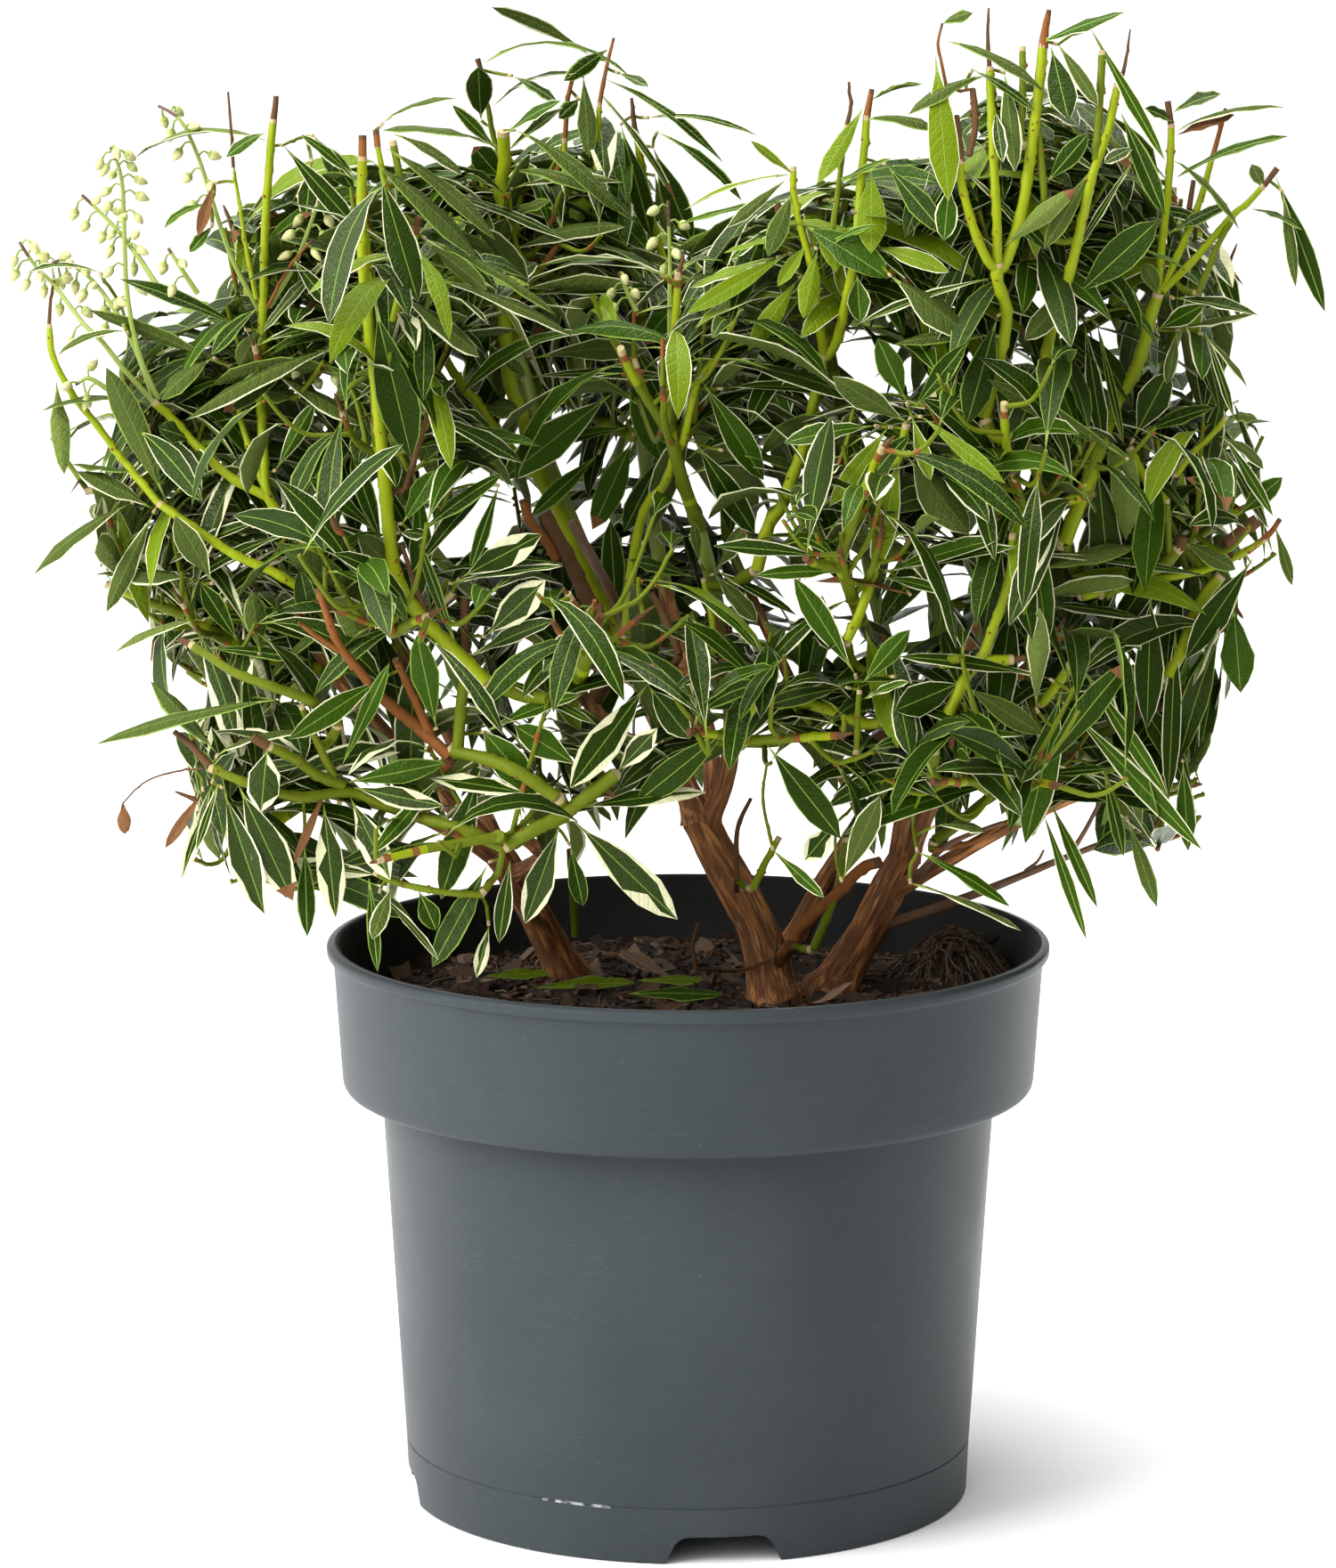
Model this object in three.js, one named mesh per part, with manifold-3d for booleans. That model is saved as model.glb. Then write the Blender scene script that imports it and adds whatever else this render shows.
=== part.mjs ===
// A pieris shrub, variegated and cut back by hand, in its grey nursery pot.
// Millimetres, +Z up. The origin is the middle of the pot's flat underside.
import * as THREE from 'three';
import { mergeVertices } from 'three/addons/utils/BufferGeometryUtils.js';
import Module from 'manifold-3d';

const wasm = await Module();
wasm.setup();

const potHeight = 218;
const rimRadius = 140;
const bandRadius = { top: 137.4, bottom: 134.4 };
const bandBottom = 163.8;
const bodyRadius = { top: 119, bottom: 110.4 };
const seamHeight = 21.4;
const footRadius = 109.4;
const wall = 2.3;
const underside = { padRadius: 44, slope: 4, channelHeight: 10.5 };
const notch = { count: 4, turn: THREE.MathUtils.degToRad(6.9), bottom: 48, top: 34, corner: 4 };
const potSides = 36;

const soilTop = 196;
const soilRim = 190.5;
const mossMound = { x: 108, y: 34, radius: 34, height: 22 };
const clear = 0.3;
const finestEdge = 0.002;
const hair = 0.01;

const leaf = { length: 78, width: 30, thickness: 1, sunk: 0.4 };
const shootRadius = { foot: 1.6, tip: 1.3 };
const stemLeaves = 5;
const bud = { length: 8.4, width: 6, out: 1.6, down: 2.5 };
const spray = { length: 60, buds: 5 };
const sprayRadius = { foot: 1.1, tip: 0.9 };
const goldenAngle = THREE.MathUtils.degToRad(137.508);
// The crown's outline: how high it stands along x, and how far it spreads to each side at a height.
const crown = {
  top: [[-256, 488], [-214, 526], [-150, 546], [-96, 552], [-76, 577], [-24, 566], [10, 538], [28, 510],
    [48, 542], [78, 560], [100, 577], [168, 577], [202, 550], [230, 528], [245, 486]],
  left: [[228, -172], [252, -200], [290, -222], [330, -232], [372, -252], [486, -257]],
  right: [[228, 172], [242, 198], [290, 212], [350, 226], [400, 236], [480, 246]],
  front: [[228, -192], [290, -200], [400, -208], [480, -182], [577, -122]],
  back: [[228, 180], [290, 200], [400, 214], [480, 190], [577, 126]],
};

const barkBrown = 0x6e4326;
const leafGreen = 0x3f5f35;
const deadBrown = 0x7a563a;

const up = new THREE.Vector3(0, 0, 1);
const point = ([x, y, z]) => new THREE.Vector3(x, y, z);

// ---- trunks and boughs: foot and tip are radii, flare is the extra radius at the soil

const standing = soilTop + clear;
const trunks = [
  { name: 'trunk_centre', route: [[33, -14, standing], [28, -8, 220], [15, 1, 244], [4, 5, 264]],
    foot: 8.4, tip: 7.2, flare: 3.2, sides: 9 },
  { name: 'trunk_right', route: [[56, 4, standing], [69, 6, 219], [84, 8, 248]],
    foot: 7.9, tip: 6.6, flare: 3.6, sides: 9 },
  { name: 'trunk_left', route: [[-48, 36, standing], [-57, 28, 217], [-67, 13, 238], [-74, 2, 252]],
    foot: 6.9, tip: 5.8, flare: 2.4, sides: 8 },
  { name: 'trunk_back', route: [[42, 94, standing], [55, 97, 220], [72, 100, 248]],
    foot: 5, tip: 4.2, flare: 1.6, sides: 7 },
];

// Each bough starts inside the limb that carries it, at that share of the limb's run.
const boughs = [
  { name: 'bough_centre_main', on: 'trunk_centre', at: 1,
    route: [[-10, 5, 300], [-30, 3, 345], [-52, -5, 398], [-65, -14, 448]], foot: 6.3, tip: 3.8 },
  { name: 'bough_centre_right', on: 'trunk_centre', at: 0.92,
    route: [[16, -6, 290], [14, -32, 335], [4, -58, 385]], foot: 5, tip: 3.2 },
  { name: 'bough_centre_back', on: 'trunk_centre', at: 0.84,
    route: [[8, 42, 290], [-8, 76, 340], [-18, 84, 405], [-18, 70, 450]], foot: 4.8, tip: 2.9 },
  { name: 'bough_centre_front', on: 'bough_centre_main', at: 0.14,
    route: [[-26, -38, 304], [-42, -82, 328]], foot: 4, tip: 3 },
  { name: 'bough_left_high', on: 'bough_centre_main', at: 0.36,
    route: [[-56, -22, 338], [-88, -48, 366], [-108, -78, 398]], foot: 4, tip: 2.9 },
  { name: 'bough_left_outer', on: 'trunk_left', at: 1,
    route: [[-108, -8, 290], [-146, -18, 342], [-160, -24, 404]], foot: 4.6, tip: 2.9 },
  { name: 'bough_left_low', on: 'trunk_left', at: 0.9,
    route: [[-104, -30, 272], [-140, -46, 284]], foot: 4.3, tip: 3.1 },
  { name: 'bough_left_front', on: 'trunk_left', at: 0.72,
    route: [[-56, -32, 256], [-62, -80, 272]], foot: 4.3, tip: 3.1 },
  { name: 'bough_left_back', on: 'trunk_left', at: 0.8,
    route: [[-92, 48, 286], [-118, 80, 330], [-126, 88, 370]], foot: 4.1, tip: 2.7 },
  { name: 'bough_right_main', on: 'trunk_right', at: 1,
    route: [[104, 4, 300], [112, -8, 352], [118, -20, 402], [119, -30, 446]], foot: 5.4, tip: 3.2 },
  { name: 'bough_right_inner', on: 'trunk_right', at: 0.88,
    route: [[84, -8, 298], [70, -28, 358], [58, -42, 424]], foot: 4.2, tip: 2.8 },
  { name: 'bough_right_outer', on: 'bough_right_main', at: 0.26,
    route: [[142, 6, 334], [166, 0, 382], [180, -6, 432]], foot: 3.8, tip: 2.7 },
  { name: 'bough_right_low', on: 'trunk_right', at: 0.74,
    route: [[122, -24, 266], [158, -14, 280]], foot: 3.9, tip: 2.7 },
  { name: 'bough_back_left', on: 'trunk_back', at: 1,
    route: [[44, 124, 296], [16, 136, 356]], foot: 3.5, tip: 2.4 },
  { name: 'bough_back_right', on: 'trunk_back', at: 0.86,
    route: [[104, 106, 290], [120, 100, 350], [118, 80, 432]], foot: 3.6, tip: 2.4 },
];

// Bare brown wood that was cut back or has died.
const deadwood = [
  { name: 'dead_branch', on: 'trunk_right', at: 0.5,
    route: [[112, -2, 236], [146, -16, 253], [178, -40, 270]], foot: 2.6, tip: 1.1 },
  { name: 'dead_twig', on: 'bough_right_low', at: 0.12,
    route: [[98, -42, 262], [118, -60, 274]], foot: 1.9, tip: 1 },
  { name: 'dead_spur_centre', on: 'bough_centre_main', at: 0.26,
    route: [[-26, -30, 350], [-44, -44, 386]], foot: 2.9, tip: 2.2 },
];

// ---- masses of foliage: a stem leaves a limb for the heart, and shoots part from it there

// Leads are the tips of the shoots that set the outline; the other shoots are spread by the seed.
const usual = { shoots: 4, leaves: 17, sprays: 0 };
const highBack = { shoots: 5, leaves: 15 };
const masses = [
  { name: 'mass_far_left', on: 'bough_left_outer', at: 0.9, heart: [-206, -20, 424], reach: [40, 45, 70],
    leads: [[-248, -26, 452], [-206, -16, 466], [-240, -25, 392]], leaves: 12, sprays: 5 },
  { name: 'mass_upper_left', on: 'bough_left_outer', at: 1, heart: [-160, -26, 460], reach: [42, 60, 75],
    leads: [[-155, -40, 543], [-180, 8, 530]], sprays: 2 },
  { name: 'mass_upper_left_front', on: 'bough_left_high', at: 1, heart: [-114, -92, 440], reach: [45, 60, 66],
    leads: [[-119, -98, 534], [-97, -120, 505]] },
  { name: 'mass_top_left', on: 'bough_centre_main', at: 1, heart: [-68, -20, 490], reach: [45, 50, 70],
    leads: [[-70, -15, 532], [-78, 0, 556], [-58, 14, 560]] },
  { name: 'mass_top_middle', on: 'bough_centre_back', at: 1, heart: [-20, 55, 500], reach: [50, 50, 60],
    leads: [[-29, 60, 562], [-46, 40, 552], [12, 58, 528]] },
  { name: 'mass_left_middle', on: 'bough_left_outer', at: 0.56, heart: [-190, -34, 362], reach: [52, 60, 45],
    leads: [[-240, -30, 368], [-228, -45, 330]] },
  { name: 'mass_lower_left', on: 'bough_left_low', at: 1, heart: [-166, -62, 284], reach: [50, 55, 45],
    leads: [[-204, -60, 296], [-158, -92, 258]] },
  { name: 'mass_centre_left_front', on: 'bough_left_high', at: 0.66, heart: [-108, -120, 368],
    reach: [52, 50, 45], leads: [[-130, -142, 402], [-80, -152, 368]] },
  { name: 'mass_lower_front', on: 'bough_left_front', at: 1, heart: [-70, -116, 292], reach: [55, 45, 44],
    leads: [[-50, -154, 284], [-114, -130, 272]] },
  { name: 'mass_centre_front', on: 'bough_centre_front', at: 1, heart: [-36, -118, 366],
    reach: [40, 50, 45], leads: [[-56, -142, 404], [-20, -152, 392]] },
  { name: 'mass_centre_upper', on: 'bough_centre_right', at: 1, heart: [-8, -84, 442], reach: [42, 50, 50],
    leads: [[-4, -100, 484], [-28, -118, 466]] },
  { name: 'mass_centre_low', on: 'bough_centre_right', at: 0.46, heart: [20, -104, 322],
    reach: [50, 45, 32], leads: [[-10, -140, 322], [56, -128, 318]] },
  { name: 'mass_top_right_inner', on: 'bough_right_inner', at: 1, heart: [50, -50, 482],
    reach: [42, 55, 62], leads: [[66, -60, 545], [26, -42, 522], [80, -84, 488]] },
  { name: 'mass_top_right', on: 'bough_right_main', at: 1, heart: [118, -42, 494], reach: [40, 50, 70],
    leads: [[110, -50, 576], [133, -44, 574], [158, -24, 562]] },
  { name: 'mass_top_right_outer', on: 'bough_right_outer', at: 1, heart: [186, -10, 482],
    reach: [45, 55, 55], leads: [[181, -10, 538], [204, 4, 534], [239, -12, 496]] },
  { name: 'mass_right_middle', on: 'bough_right_main', at: 0.62, heart: [122, -92, 412],
    reach: [42, 52, 48], leads: [[112, -124, 446], [148, -108, 404]] },
  { name: 'mass_right_outer', on: 'bough_right_outer', at: 0.62, heart: [188, -24, 388],
    reach: [42, 60, 45], leads: [[230, -18, 398], [208, -26, 350]] },
  { name: 'mass_lower_right_front', on: 'bough_right_low', at: 0.56, heart: [116, -98, 308],
    reach: [50, 45, 36], leads: [[134, -132, 300], [80, -126, 300]] },
  { name: 'mass_lower_right', on: 'bough_right_low', at: 1, heart: [176, -8, 292], reach: [45, 60, 44],
    leads: [[196, 2, 278], [178, -44, 262]] },
  { name: 'mass_centre_right', on: 'bough_right_inner', at: 0.52, heart: [54, -124, 396],
    reach: [42, 46, 48], leads: [[70, -148, 428], [40, -144, 386]] },
  { name: 'mass_back_left_high', on: 'bough_left_back', at: 1, heart: [-134, 82, 430],
    reach: [62, 60, 80], leads: [[-150, 60, 524]], ...highBack },
  { name: 'mass_back_left_low', on: 'bough_left_back', at: 0.6, heart: [-168, 78, 318],
    reach: [55, 62, 45], leads: [[-216, 62, 340]] },
  { name: 'mass_back_top', on: 'bough_centre_back', at: 0.74, heart: [-66, 118, 452],
    reach: [52, 55, 72], leads: [[-72, 112, 540]], ...highBack },
  { name: 'mass_back_middle', on: 'bough_back_left', at: 1, heart: [14, 150, 424], reach: [55, 50, 62],
    leads: [[10, 150, 506]], ...highBack },
  { name: 'mass_back_low', on: 'bough_back_left', at: 0.6, heart: [-36, 156, 322], reach: [70, 48, 42],
    leads: [[-80, 166, 338]] },
  { name: 'mass_back_right', on: 'bough_back_right', at: 0.62, heart: [140, 132, 396],
    reach: [60, 60, 55], leads: [[190, 110, 410]], ...highBack },
  { name: 'mass_back_right_low', on: 'bough_back_right', at: 0.32, heart: [138, 112, 296],
    reach: [62, 60, 38], leads: [[190, 86, 300]] },
  { name: 'mass_back_top_right', on: 'bough_back_right', at: 1, heart: [112, 64, 496],
    reach: [62, 52, 62], leads: [[122, 60, 560], [60, 70, 520]], ...highBack },
];

// ---- solids from three.js geometry, and back

function solidFrom(geometry) {
  const bare = geometry.clone();
  bare.deleteAttribute('normal');
  bare.deleteAttribute('uv');
  const merged = mergeVertices(bare, 1e-4);
  const corners = merged.index.array;
  const faces = [];
  for (let i = 0; i < corners.length; i += 3) {
    const [a, b, c] = corners.slice(i, i + 3);
    if (a !== b && b !== c && c !== a) faces.push(a, b, c);
  }
  const vertProperties = new Float32Array(merged.attributes.position.array);
  return new wasm.Manifold(new wasm.Mesh({ numProp: 3, vertProperties, triVerts: new Uint32Array(faces) }));
}

function meshFrom(name, solid, color, roughness) {
  const { vertProperties, triVerts } = solid.getMesh();
  const geometry = new THREE.BufferGeometry();
  geometry.setAttribute('position', new THREE.BufferAttribute(vertProperties, 3));
  geometry.setIndex(new THREE.BufferAttribute(triVerts, 1));
  geometry.computeVertexNormals();
  const mesh = new THREE.Mesh(geometry, new THREE.MeshStandardMaterial({ color, roughness, metalness: 0 }));
  mesh.name = name;
  return mesh;
}

// Whether two corners of a solid lie so close that rounding would make them one.
function hasCloseCorners(solid) {
  const { vertProperties } = solid.getMesh();
  return [0, 0.5].some((shift) => {
    const cells = new Set();
    for (let i = 0; i < vertProperties.length; i += 3) {
      const corner = vertProperties.subarray(i, i + 3);
      cells.add(Array.from(corner, (value) => Math.round(value / finestEdge + shift)).join());
    }
    return cells.size < vertProperties.length / 3;
  });
}

// Pieces are joined one by one, each moved by a hair until its seam has no edge too fine to keep.
function joined(pieces) {
  return pieces.reduce((body, piece) => {
    for (let nudge = 0; nudge < 8; nudge++) {
      const both = body.add(piece.translate([0, 0, nudge * hair]));
      if (!hasCloseCorners(both)) return both;
    }
    return body;
  });
}

// The one body that counts: loose scraps are dropped and a sealed hollow is filled.
function mainBody(solid) {
  const bodies = solid.decompose();
  return bodies.reduce((best, body) => (body.volume() > best.volume() ? body : best));
}

function boxesMeet(a, b) {
  return [0, 1, 2].every((k) => a.min[k] <= b.max[k] && b.min[k] <= a.max[k]);
}

function touches(solid, others) {
  const box = solid.boundingBox();
  return others.some((other) => boxesMeet(box, other.box) && other.solid.intersect(solid).volume() > 0);
}

// ---- the same seeded draws everywhere

function seeded(name) {
  let state = 7;
  for (const letter of name) state = (Math.imul(state, 31) + letter.charCodeAt(0)) >>> 0;
  return () => {
    state = (state + 0x6d2b79f5) >>> 0;
    let mixed = Math.imul(state ^ (state >>> 15), state | 1);
    mixed ^= mixed + Math.imul(mixed ^ (mixed >>> 7), mixed | 61);
    return ((mixed ^ (mixed >>> 14)) >>> 0) / 4294967296;
  };
}

// ---- limbs: a cylinder bent along a curve

function curveThrough(points) {
  return new THREE.CatmullRomCurve3(points, false, 'catmullrom', 0.5);
}

function limbSolid({ path, foot, tip, flare = 0, sides, rings }, grow = 0) {
  const tube = new THREE.CylinderGeometry(1, 1, 1, sides, rings);
  const spot = tube.attributes.position;
  const frames = [];
  let across = new THREE.Vector3(0.3, 1, 0.1);
  for (let k = 0; k <= rings; k++) {
    const along = path.getTangent(k / rings).normalize();
    across = across.clone().addScaledVector(along, -across.dot(along)).normalize();
    frames.push({ along, across, side: new THREE.Vector3().crossVectors(across, along) });
  }
  for (let i = 0; i < spot.count; i++) {
    const t = spot.getY(i) + 0.5;
    const k = Math.round(t * rings);
    const radius = foot + (tip - foot) * t + flare * Math.exp(-t * 9) + grow;
    const place = path.getPoint(t);
    place.addScaledVector(frames[k].across, spot.getX(i) * radius);
    place.addScaledVector(frames[k].side, spot.getZ(i) * radius);
    if (k === 0) place.addScaledVector(frames[k].along, -grow);
    if (k === rings) place.addScaledVector(frames[k].along, grow);
    spot.setXYZ(i, place.x, place.y, place.z);
  }
  return solidFrom(tube);
}

// How much wider a limb of that many sides is, for its faces to lie clear of the limb inside it.
function gapFor(sides) {
  return (clear + 0.05) / Math.cos(Math.PI / sides);
}

const grown = new Map();
const obstacles = [];

function keepLimb(limb, solid) {
  const wide = limbSolid(limb, gapFor(limb.sides));
  grown.set(limb.name, limb);
  obstacles.push({ name: limb.name, solid, wide, box: solid.boundingBox() });
}

function cutClear(solid, grownLimbs) {
  const box = solid.boundingBox();
  let left = solid;
  for (const other of grownLimbs) {
    if (boxesMeet(box, other.wide.boundingBox())) left = left.subtract(other.wide);
  }
  return mainBody(left);
}

function growTrunk(trunk) {
  const limb = { ...trunk, path: curveThrough(trunk.route.map(point)), rings: 7 };
  const solid = limbSolid(limb);
  const footCut = solid.trimByPlane([0, 0, 1], standing);
  keepLimb(limb, footCut);
  return meshFrom(limb.name, footCut, barkBrown, 0.9);
}

function growBough(bough, sides, color) {
  const start = grown.get(bough.on).path.getPoint(bough.at);
  const path = curveThrough([start, ...bough.route.map(point)]);
  const limb = { ...bough, path, sides, rings: bough.route.length * 2 };
  const solid = cutClear(limbSolid(limb), obstacles);
  keepLimb(limb, solid);
  return meshFrom(limb.name, solid, color, 0.8);
}

// ---- foliage

// A leaf is a kite with a keel below, bent down at its middle, with its root sunk in the twig.
function leafSolid({ root, along, face, length, width, thickness, droop }) {
  const side = new THREE.Vector3().crossVectors(along, face).normalize();
  const middle = root.clone().addScaledVector(along, length * 0.5);
  const fall = along.clone().addScaledVector(up, -droop).normalize();
  const tip = middle.clone().addScaledVector(fall, length * 0.5);
  const keel = middle.clone().addScaledVector(face, -thickness);
  const edges = [1, -1].map((way) => middle.clone().addScaledVector(side, way * width / 2));
  const geometry = new THREE.BufferGeometry().setFromPoints([root, tip, ...edges, keel]);
  geometry.setIndex([0, 2, 3, 0, 3, 4, 0, 4, 2, 1, 3, 2, 1, 4, 3, 1, 2, 4]);
  return { solid: solidFrom(geometry), points: [tip, ...edges] };
}

// The value of a chain of points at a place along it, held level past its ends.
function alongChain(chain, at) {
  const next = chain.findIndex(([place]) => place > at);
  if (next === -1) return chain[chain.length - 1][1];
  if (next === 0) return chain[0][1];
  const [a, b] = [chain[next - 1], chain[next]];
  return a[1] + (b[1] - a[1]) * (at - a[0]) / (b[0] - a[0]);
}

function inCrown(p) {
  const depth = p.y < 0 ? alongChain(crown.front, p.z) : alongChain(crown.back, p.z);
  const width = p.x < 0 ? alongChain(crown.left, p.z) : alongChain(crown.right, p.z);
  const rounded = (p.x / width) ** 4 + (p.y / depth) ** 2;
  return rounded < 1 && p.z < alongChain(crown.top, p.x) && p.z > crown.left[0][0];
}

// A mass owns the points that lie nearer to its own heart than to any other mass's.
function inOwnSpace(mass, p) {
  if (!inCrown(p)) return false;
  return masses.every((other) => {
    if (other.name === mass.name) return true;
    const between = point(other.heart).sub(point(mass.heart));
    const middle = point(other.heart).add(point(mass.heart)).multiplyScalar(0.5);
    return p.clone().sub(middle).dot(between) / between.length() < -clear;
  });
}

function shootTargets(mass, random) {
  const heart = point(mass.heart);
  const targets = mass.leads.map(point);
  const spin = random() * Math.PI * 2;
  for (let i = targets.length; i < mass.shoots; i++) {
    const rise = 0.85 - 1.15 * ((i + 0.5) / mass.shoots);
    const flat = Math.sqrt(1 - rise * rise);
    const turn = spin + i * goldenAngle;
    const target = new THREE.Vector3(
      mass.reach[0] * flat * Math.cos(turn), mass.reach[1] * flat * Math.sin(turn), mass.reach[2] * rise);
    targets.push(heart.clone().addScaledVector(target, 0.5));
  }
  return targets;
}

// A shoot that would leave the mass's space or touch a limb is shortened, then left out.
function growShoot(mass, start, target, others) {
  for (let share = 1; share > 0.35; share -= 0.13) {
    const path = curveThrough([start, start.clone().lerp(target, share)]);
    const shoot = { path, foot: shootRadius.foot, tip: shootRadius.tip, sides: 3, rings: 1 };
    const inside = [0.5, 1].every((t) => inOwnSpace(mass, shoot.path.getPoint(t)));
    if (inside && !touches(limbSolid(shoot, gapFor(3)), others)) return { ...shoot, solid: limbSolid(shoot) };
  }
  return null;
}

function leafAt(shoot, t, turn, open, size, droop) {
  const axis = shoot.path.getTangent(t).normalize();
  const flat = new THREE.Vector3().crossVectors(axis, new THREE.Vector3(0.31, 0.95, 0.05)).normalize();
  const other = new THREE.Vector3().crossVectors(axis, flat);
  const outward = flat.multiplyScalar(Math.cos(turn)).addScaledVector(other, Math.sin(turn));
  const along = axis.clone().multiplyScalar(Math.cos(open)).addScaledVector(outward, Math.sin(open));
  const face = axis.clone().multiplyScalar(Math.sin(open)).addScaledVector(outward, -Math.cos(open));
  const root = shoot.path.getPoint(t).addScaledVector(along, -leaf.sunk);
  return { root, along, face, length: leaf.length * size, width: leaf.width * size,
    thickness: leaf.thickness, droop };
}

// A leaf that would leave the mass's space or touch something is turned, shortened, then left out.
function placeLeaf(mass, shoot, t, turn, open, size, droop, others) {
  for (let attempt = 0; attempt < 16; attempt++) {
    const swing = Math.ceil(attempt / 2) * 0.7 * (attempt % 2 ? 1 : -1);
    const closed = attempt > 7 ? 0.3 : 0;
    const shrink = attempt > 4 ? 0.84 : 1;
    const wanted = leafAt(shoot, t, turn + swing, open - closed, size * shrink, droop);
    const made = leafSolid(wanted);
    if (!made.points.every((p) => inOwnSpace(mass, p))) continue;
    const fat = { ...wanted, width: wanted.width + 1.4, thickness: wanted.thickness + 1.4 };
    if (!touches(leafSolid(fat).solid, others)) return made.solid;
  }
  return null;
}

// The stalk of a flower spray arches over from its shoot, turned until it has room.
function sprayStalk(mass, shoot, wantedTurn, reach, others) {
  const start = shoot.path.getPoint(0.9);
  for (let attempt = 0; attempt < 7; attempt++) {
    const turn = wantedTurn + attempt * 0.9;
    const outward = new THREE.Vector3(Math.cos(turn), Math.sin(turn), 0);
    const bend = start.clone().addScaledVector(outward, reach * 0.3).addScaledVector(up, reach * 0.6);
    const end = start.clone().addScaledVector(outward, reach * 0.65).addScaledVector(up, reach * 0.72);
    const stalk = { path: curveThrough([start, bend, end]), ...sprayRadius, sides: 3, rings: 2, turn };
    if (inOwnSpace(mass, end) && !touches(limbSolid(stalk, gapFor(3)), others)) return stalk;
  }
  return null;
}

// Flower buds hang in two ranks along the stalk.
function growSpray(mass, shoot, random, others) {
  const wantedTurn = Math.atan2(mass.heart[1], mass.heart[0]) + (random() - 0.5) * 2.6;
  const reach = spray.length * (0.8 + 0.3 * random());
  const stalk = sprayStalk(mass, shoot, wantedTurn, reach, others);
  if (!stalk) return [];
  const pieces = [limbSolid(stalk)];
  for (let i = 1; i <= spray.buds; i++) {
    const place = stalk.path.getPoint(0.25 + 0.75 * i / spray.buds);
    const swing = stalk.turn + (i % 2 ? 1.4 : -1.4);
    place.add(new THREE.Vector3(Math.cos(swing) * bud.out, Math.sin(swing) * bud.out, -bud.down));
    const ball = new THREE.OctahedronGeometry(1);
    ball.scale(bud.width / 2, bud.width / 2, bud.length / 2);
    ball.translate(place.x, place.y, place.z);
    pieces.push(solidFrom(ball));
  }
  return pieces;
}

// What falls to one of several shoots when that many leaves are dealt out evenly.
function shareOf(total, i, count) {
  return Math.floor(total * (i + 1) / count) - Math.floor(total * i / count);
}

function stemOf(mass) {
  const start = grown.get(mass.on).path.getPoint(mass.at);
  const heart = point(mass.heart);
  const parting = heart.clone().addScaledVector(up, -0.3 * mass.reach[2]);
  const bend = start.clone().lerp(parting, 0.5).addScaledVector(up, -0.06 * start.distanceTo(parting));
  const path = curveThrough([start, bend, parting]);
  const foot = grown.get(mass.on).tip * 0.92;
  return { name: mass.name, path, foot, tip: 2.5, sides: 3, rings: 3 };
}

function growMass(mass, stem, random) {
  const others = obstacles.filter((other) => other.name !== mass.name);
  const own = obstacles.find((other) => other.name === mass.name);
  const targets = shootTargets(mass, random);
  const shoots = [];
  targets.forEach((target, i) => {
    const start = stem.path.getPoint(1 - 0.3 * (i / targets.length));
    const shoot = growShoot(mass, start, target, others);
    if (shoot) shoots.push(shoot);
  });
  const pieces = [own.solid, ...shoots.map((shoot) => shoot.solid)];
  const placed = [];
  for (let i = 0; i < mass.sprays; i++) {
    const pieces = growSpray(mass, shoots[i % shoots.length], random, [...others, ...placed]);
    placed.push(...pieces.map((solid) => ({ solid, box: solid.boundingBox() })));
  }
  const twigs = [...shoots, { ...stem, solid: own.solid }];
  twigs.forEach((shoot, i) => {
    const rest = twigs.filter((sister) => sister !== shoot);
    const otherTwigs = rest.map(({ solid }) => ({ solid, box: solid.boundingBox() }));
    const onStem = i === shoots.length;
    const count = onStem ? stemLeaves : shareOf(mass.leaves, i, shoots.length);
    const phase = random() * Math.PI * 2;
    for (let j = 0; j < count; j++) {
      const t = (onStem ? 0.4 : 0.2) + (onStem ? 0.5 : 0.78) * Math.sqrt((j + 0.5) / count);
      const open = 1.32 - 0.62 * t + 0.2 * (random() - 0.5);
      const size = 0.86 + 0.26 * random();
      const droop = 0.1 + 0.55 * random();
      const inTheWay = [...others, ...otherTwigs, ...placed];
      const made = placeLeaf(mass, shoot, t, phase + j * goldenAngle, open, size, droop, inTheWay);
      if (made) placed.push({ solid: made, box: made.boundingBox() });
    }
  });
  pieces.push(...placed.map(({ solid }) => solid));
  return mainBody(joined(pieces));
}

// ---- pot and soil

function turnedProfile(profile) {
  const points = profile.map(([radius, height]) => new THREE.Vector2(radius, height));
  return new THREE.LatheGeometry(points, potSides).rotateX(Math.PI / 2);
}

function notchSolid(turn) {
  const half = { bottom: notch.bottom / 2, top: notch.top / 2 };
  const height = underside.channelHeight;
  const outline = new THREE.Shape();
  outline.moveTo(-half.bottom, -1);
  outline.lineTo(half.bottom, -1);
  outline.lineTo(half.top + 1.5, height - notch.corner);
  outline.quadraticCurveTo(half.top, height, half.top - notch.corner, height);
  outline.lineTo(notch.corner - half.top, height);
  outline.quadraticCurveTo(-half.top, height, -half.top - 1.5, height - notch.corner);
  outline.closePath();
  const block = new THREE.ExtrudeGeometry(outline, { depth: 30, bevelEnabled: false, curveSegments: 3 });
  block.rotateX(Math.PI / 2);
  block.translate(0, -(footRadius - 15), 0);
  block.rotateZ(turn);
  return solidFrom(block);
}

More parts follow.
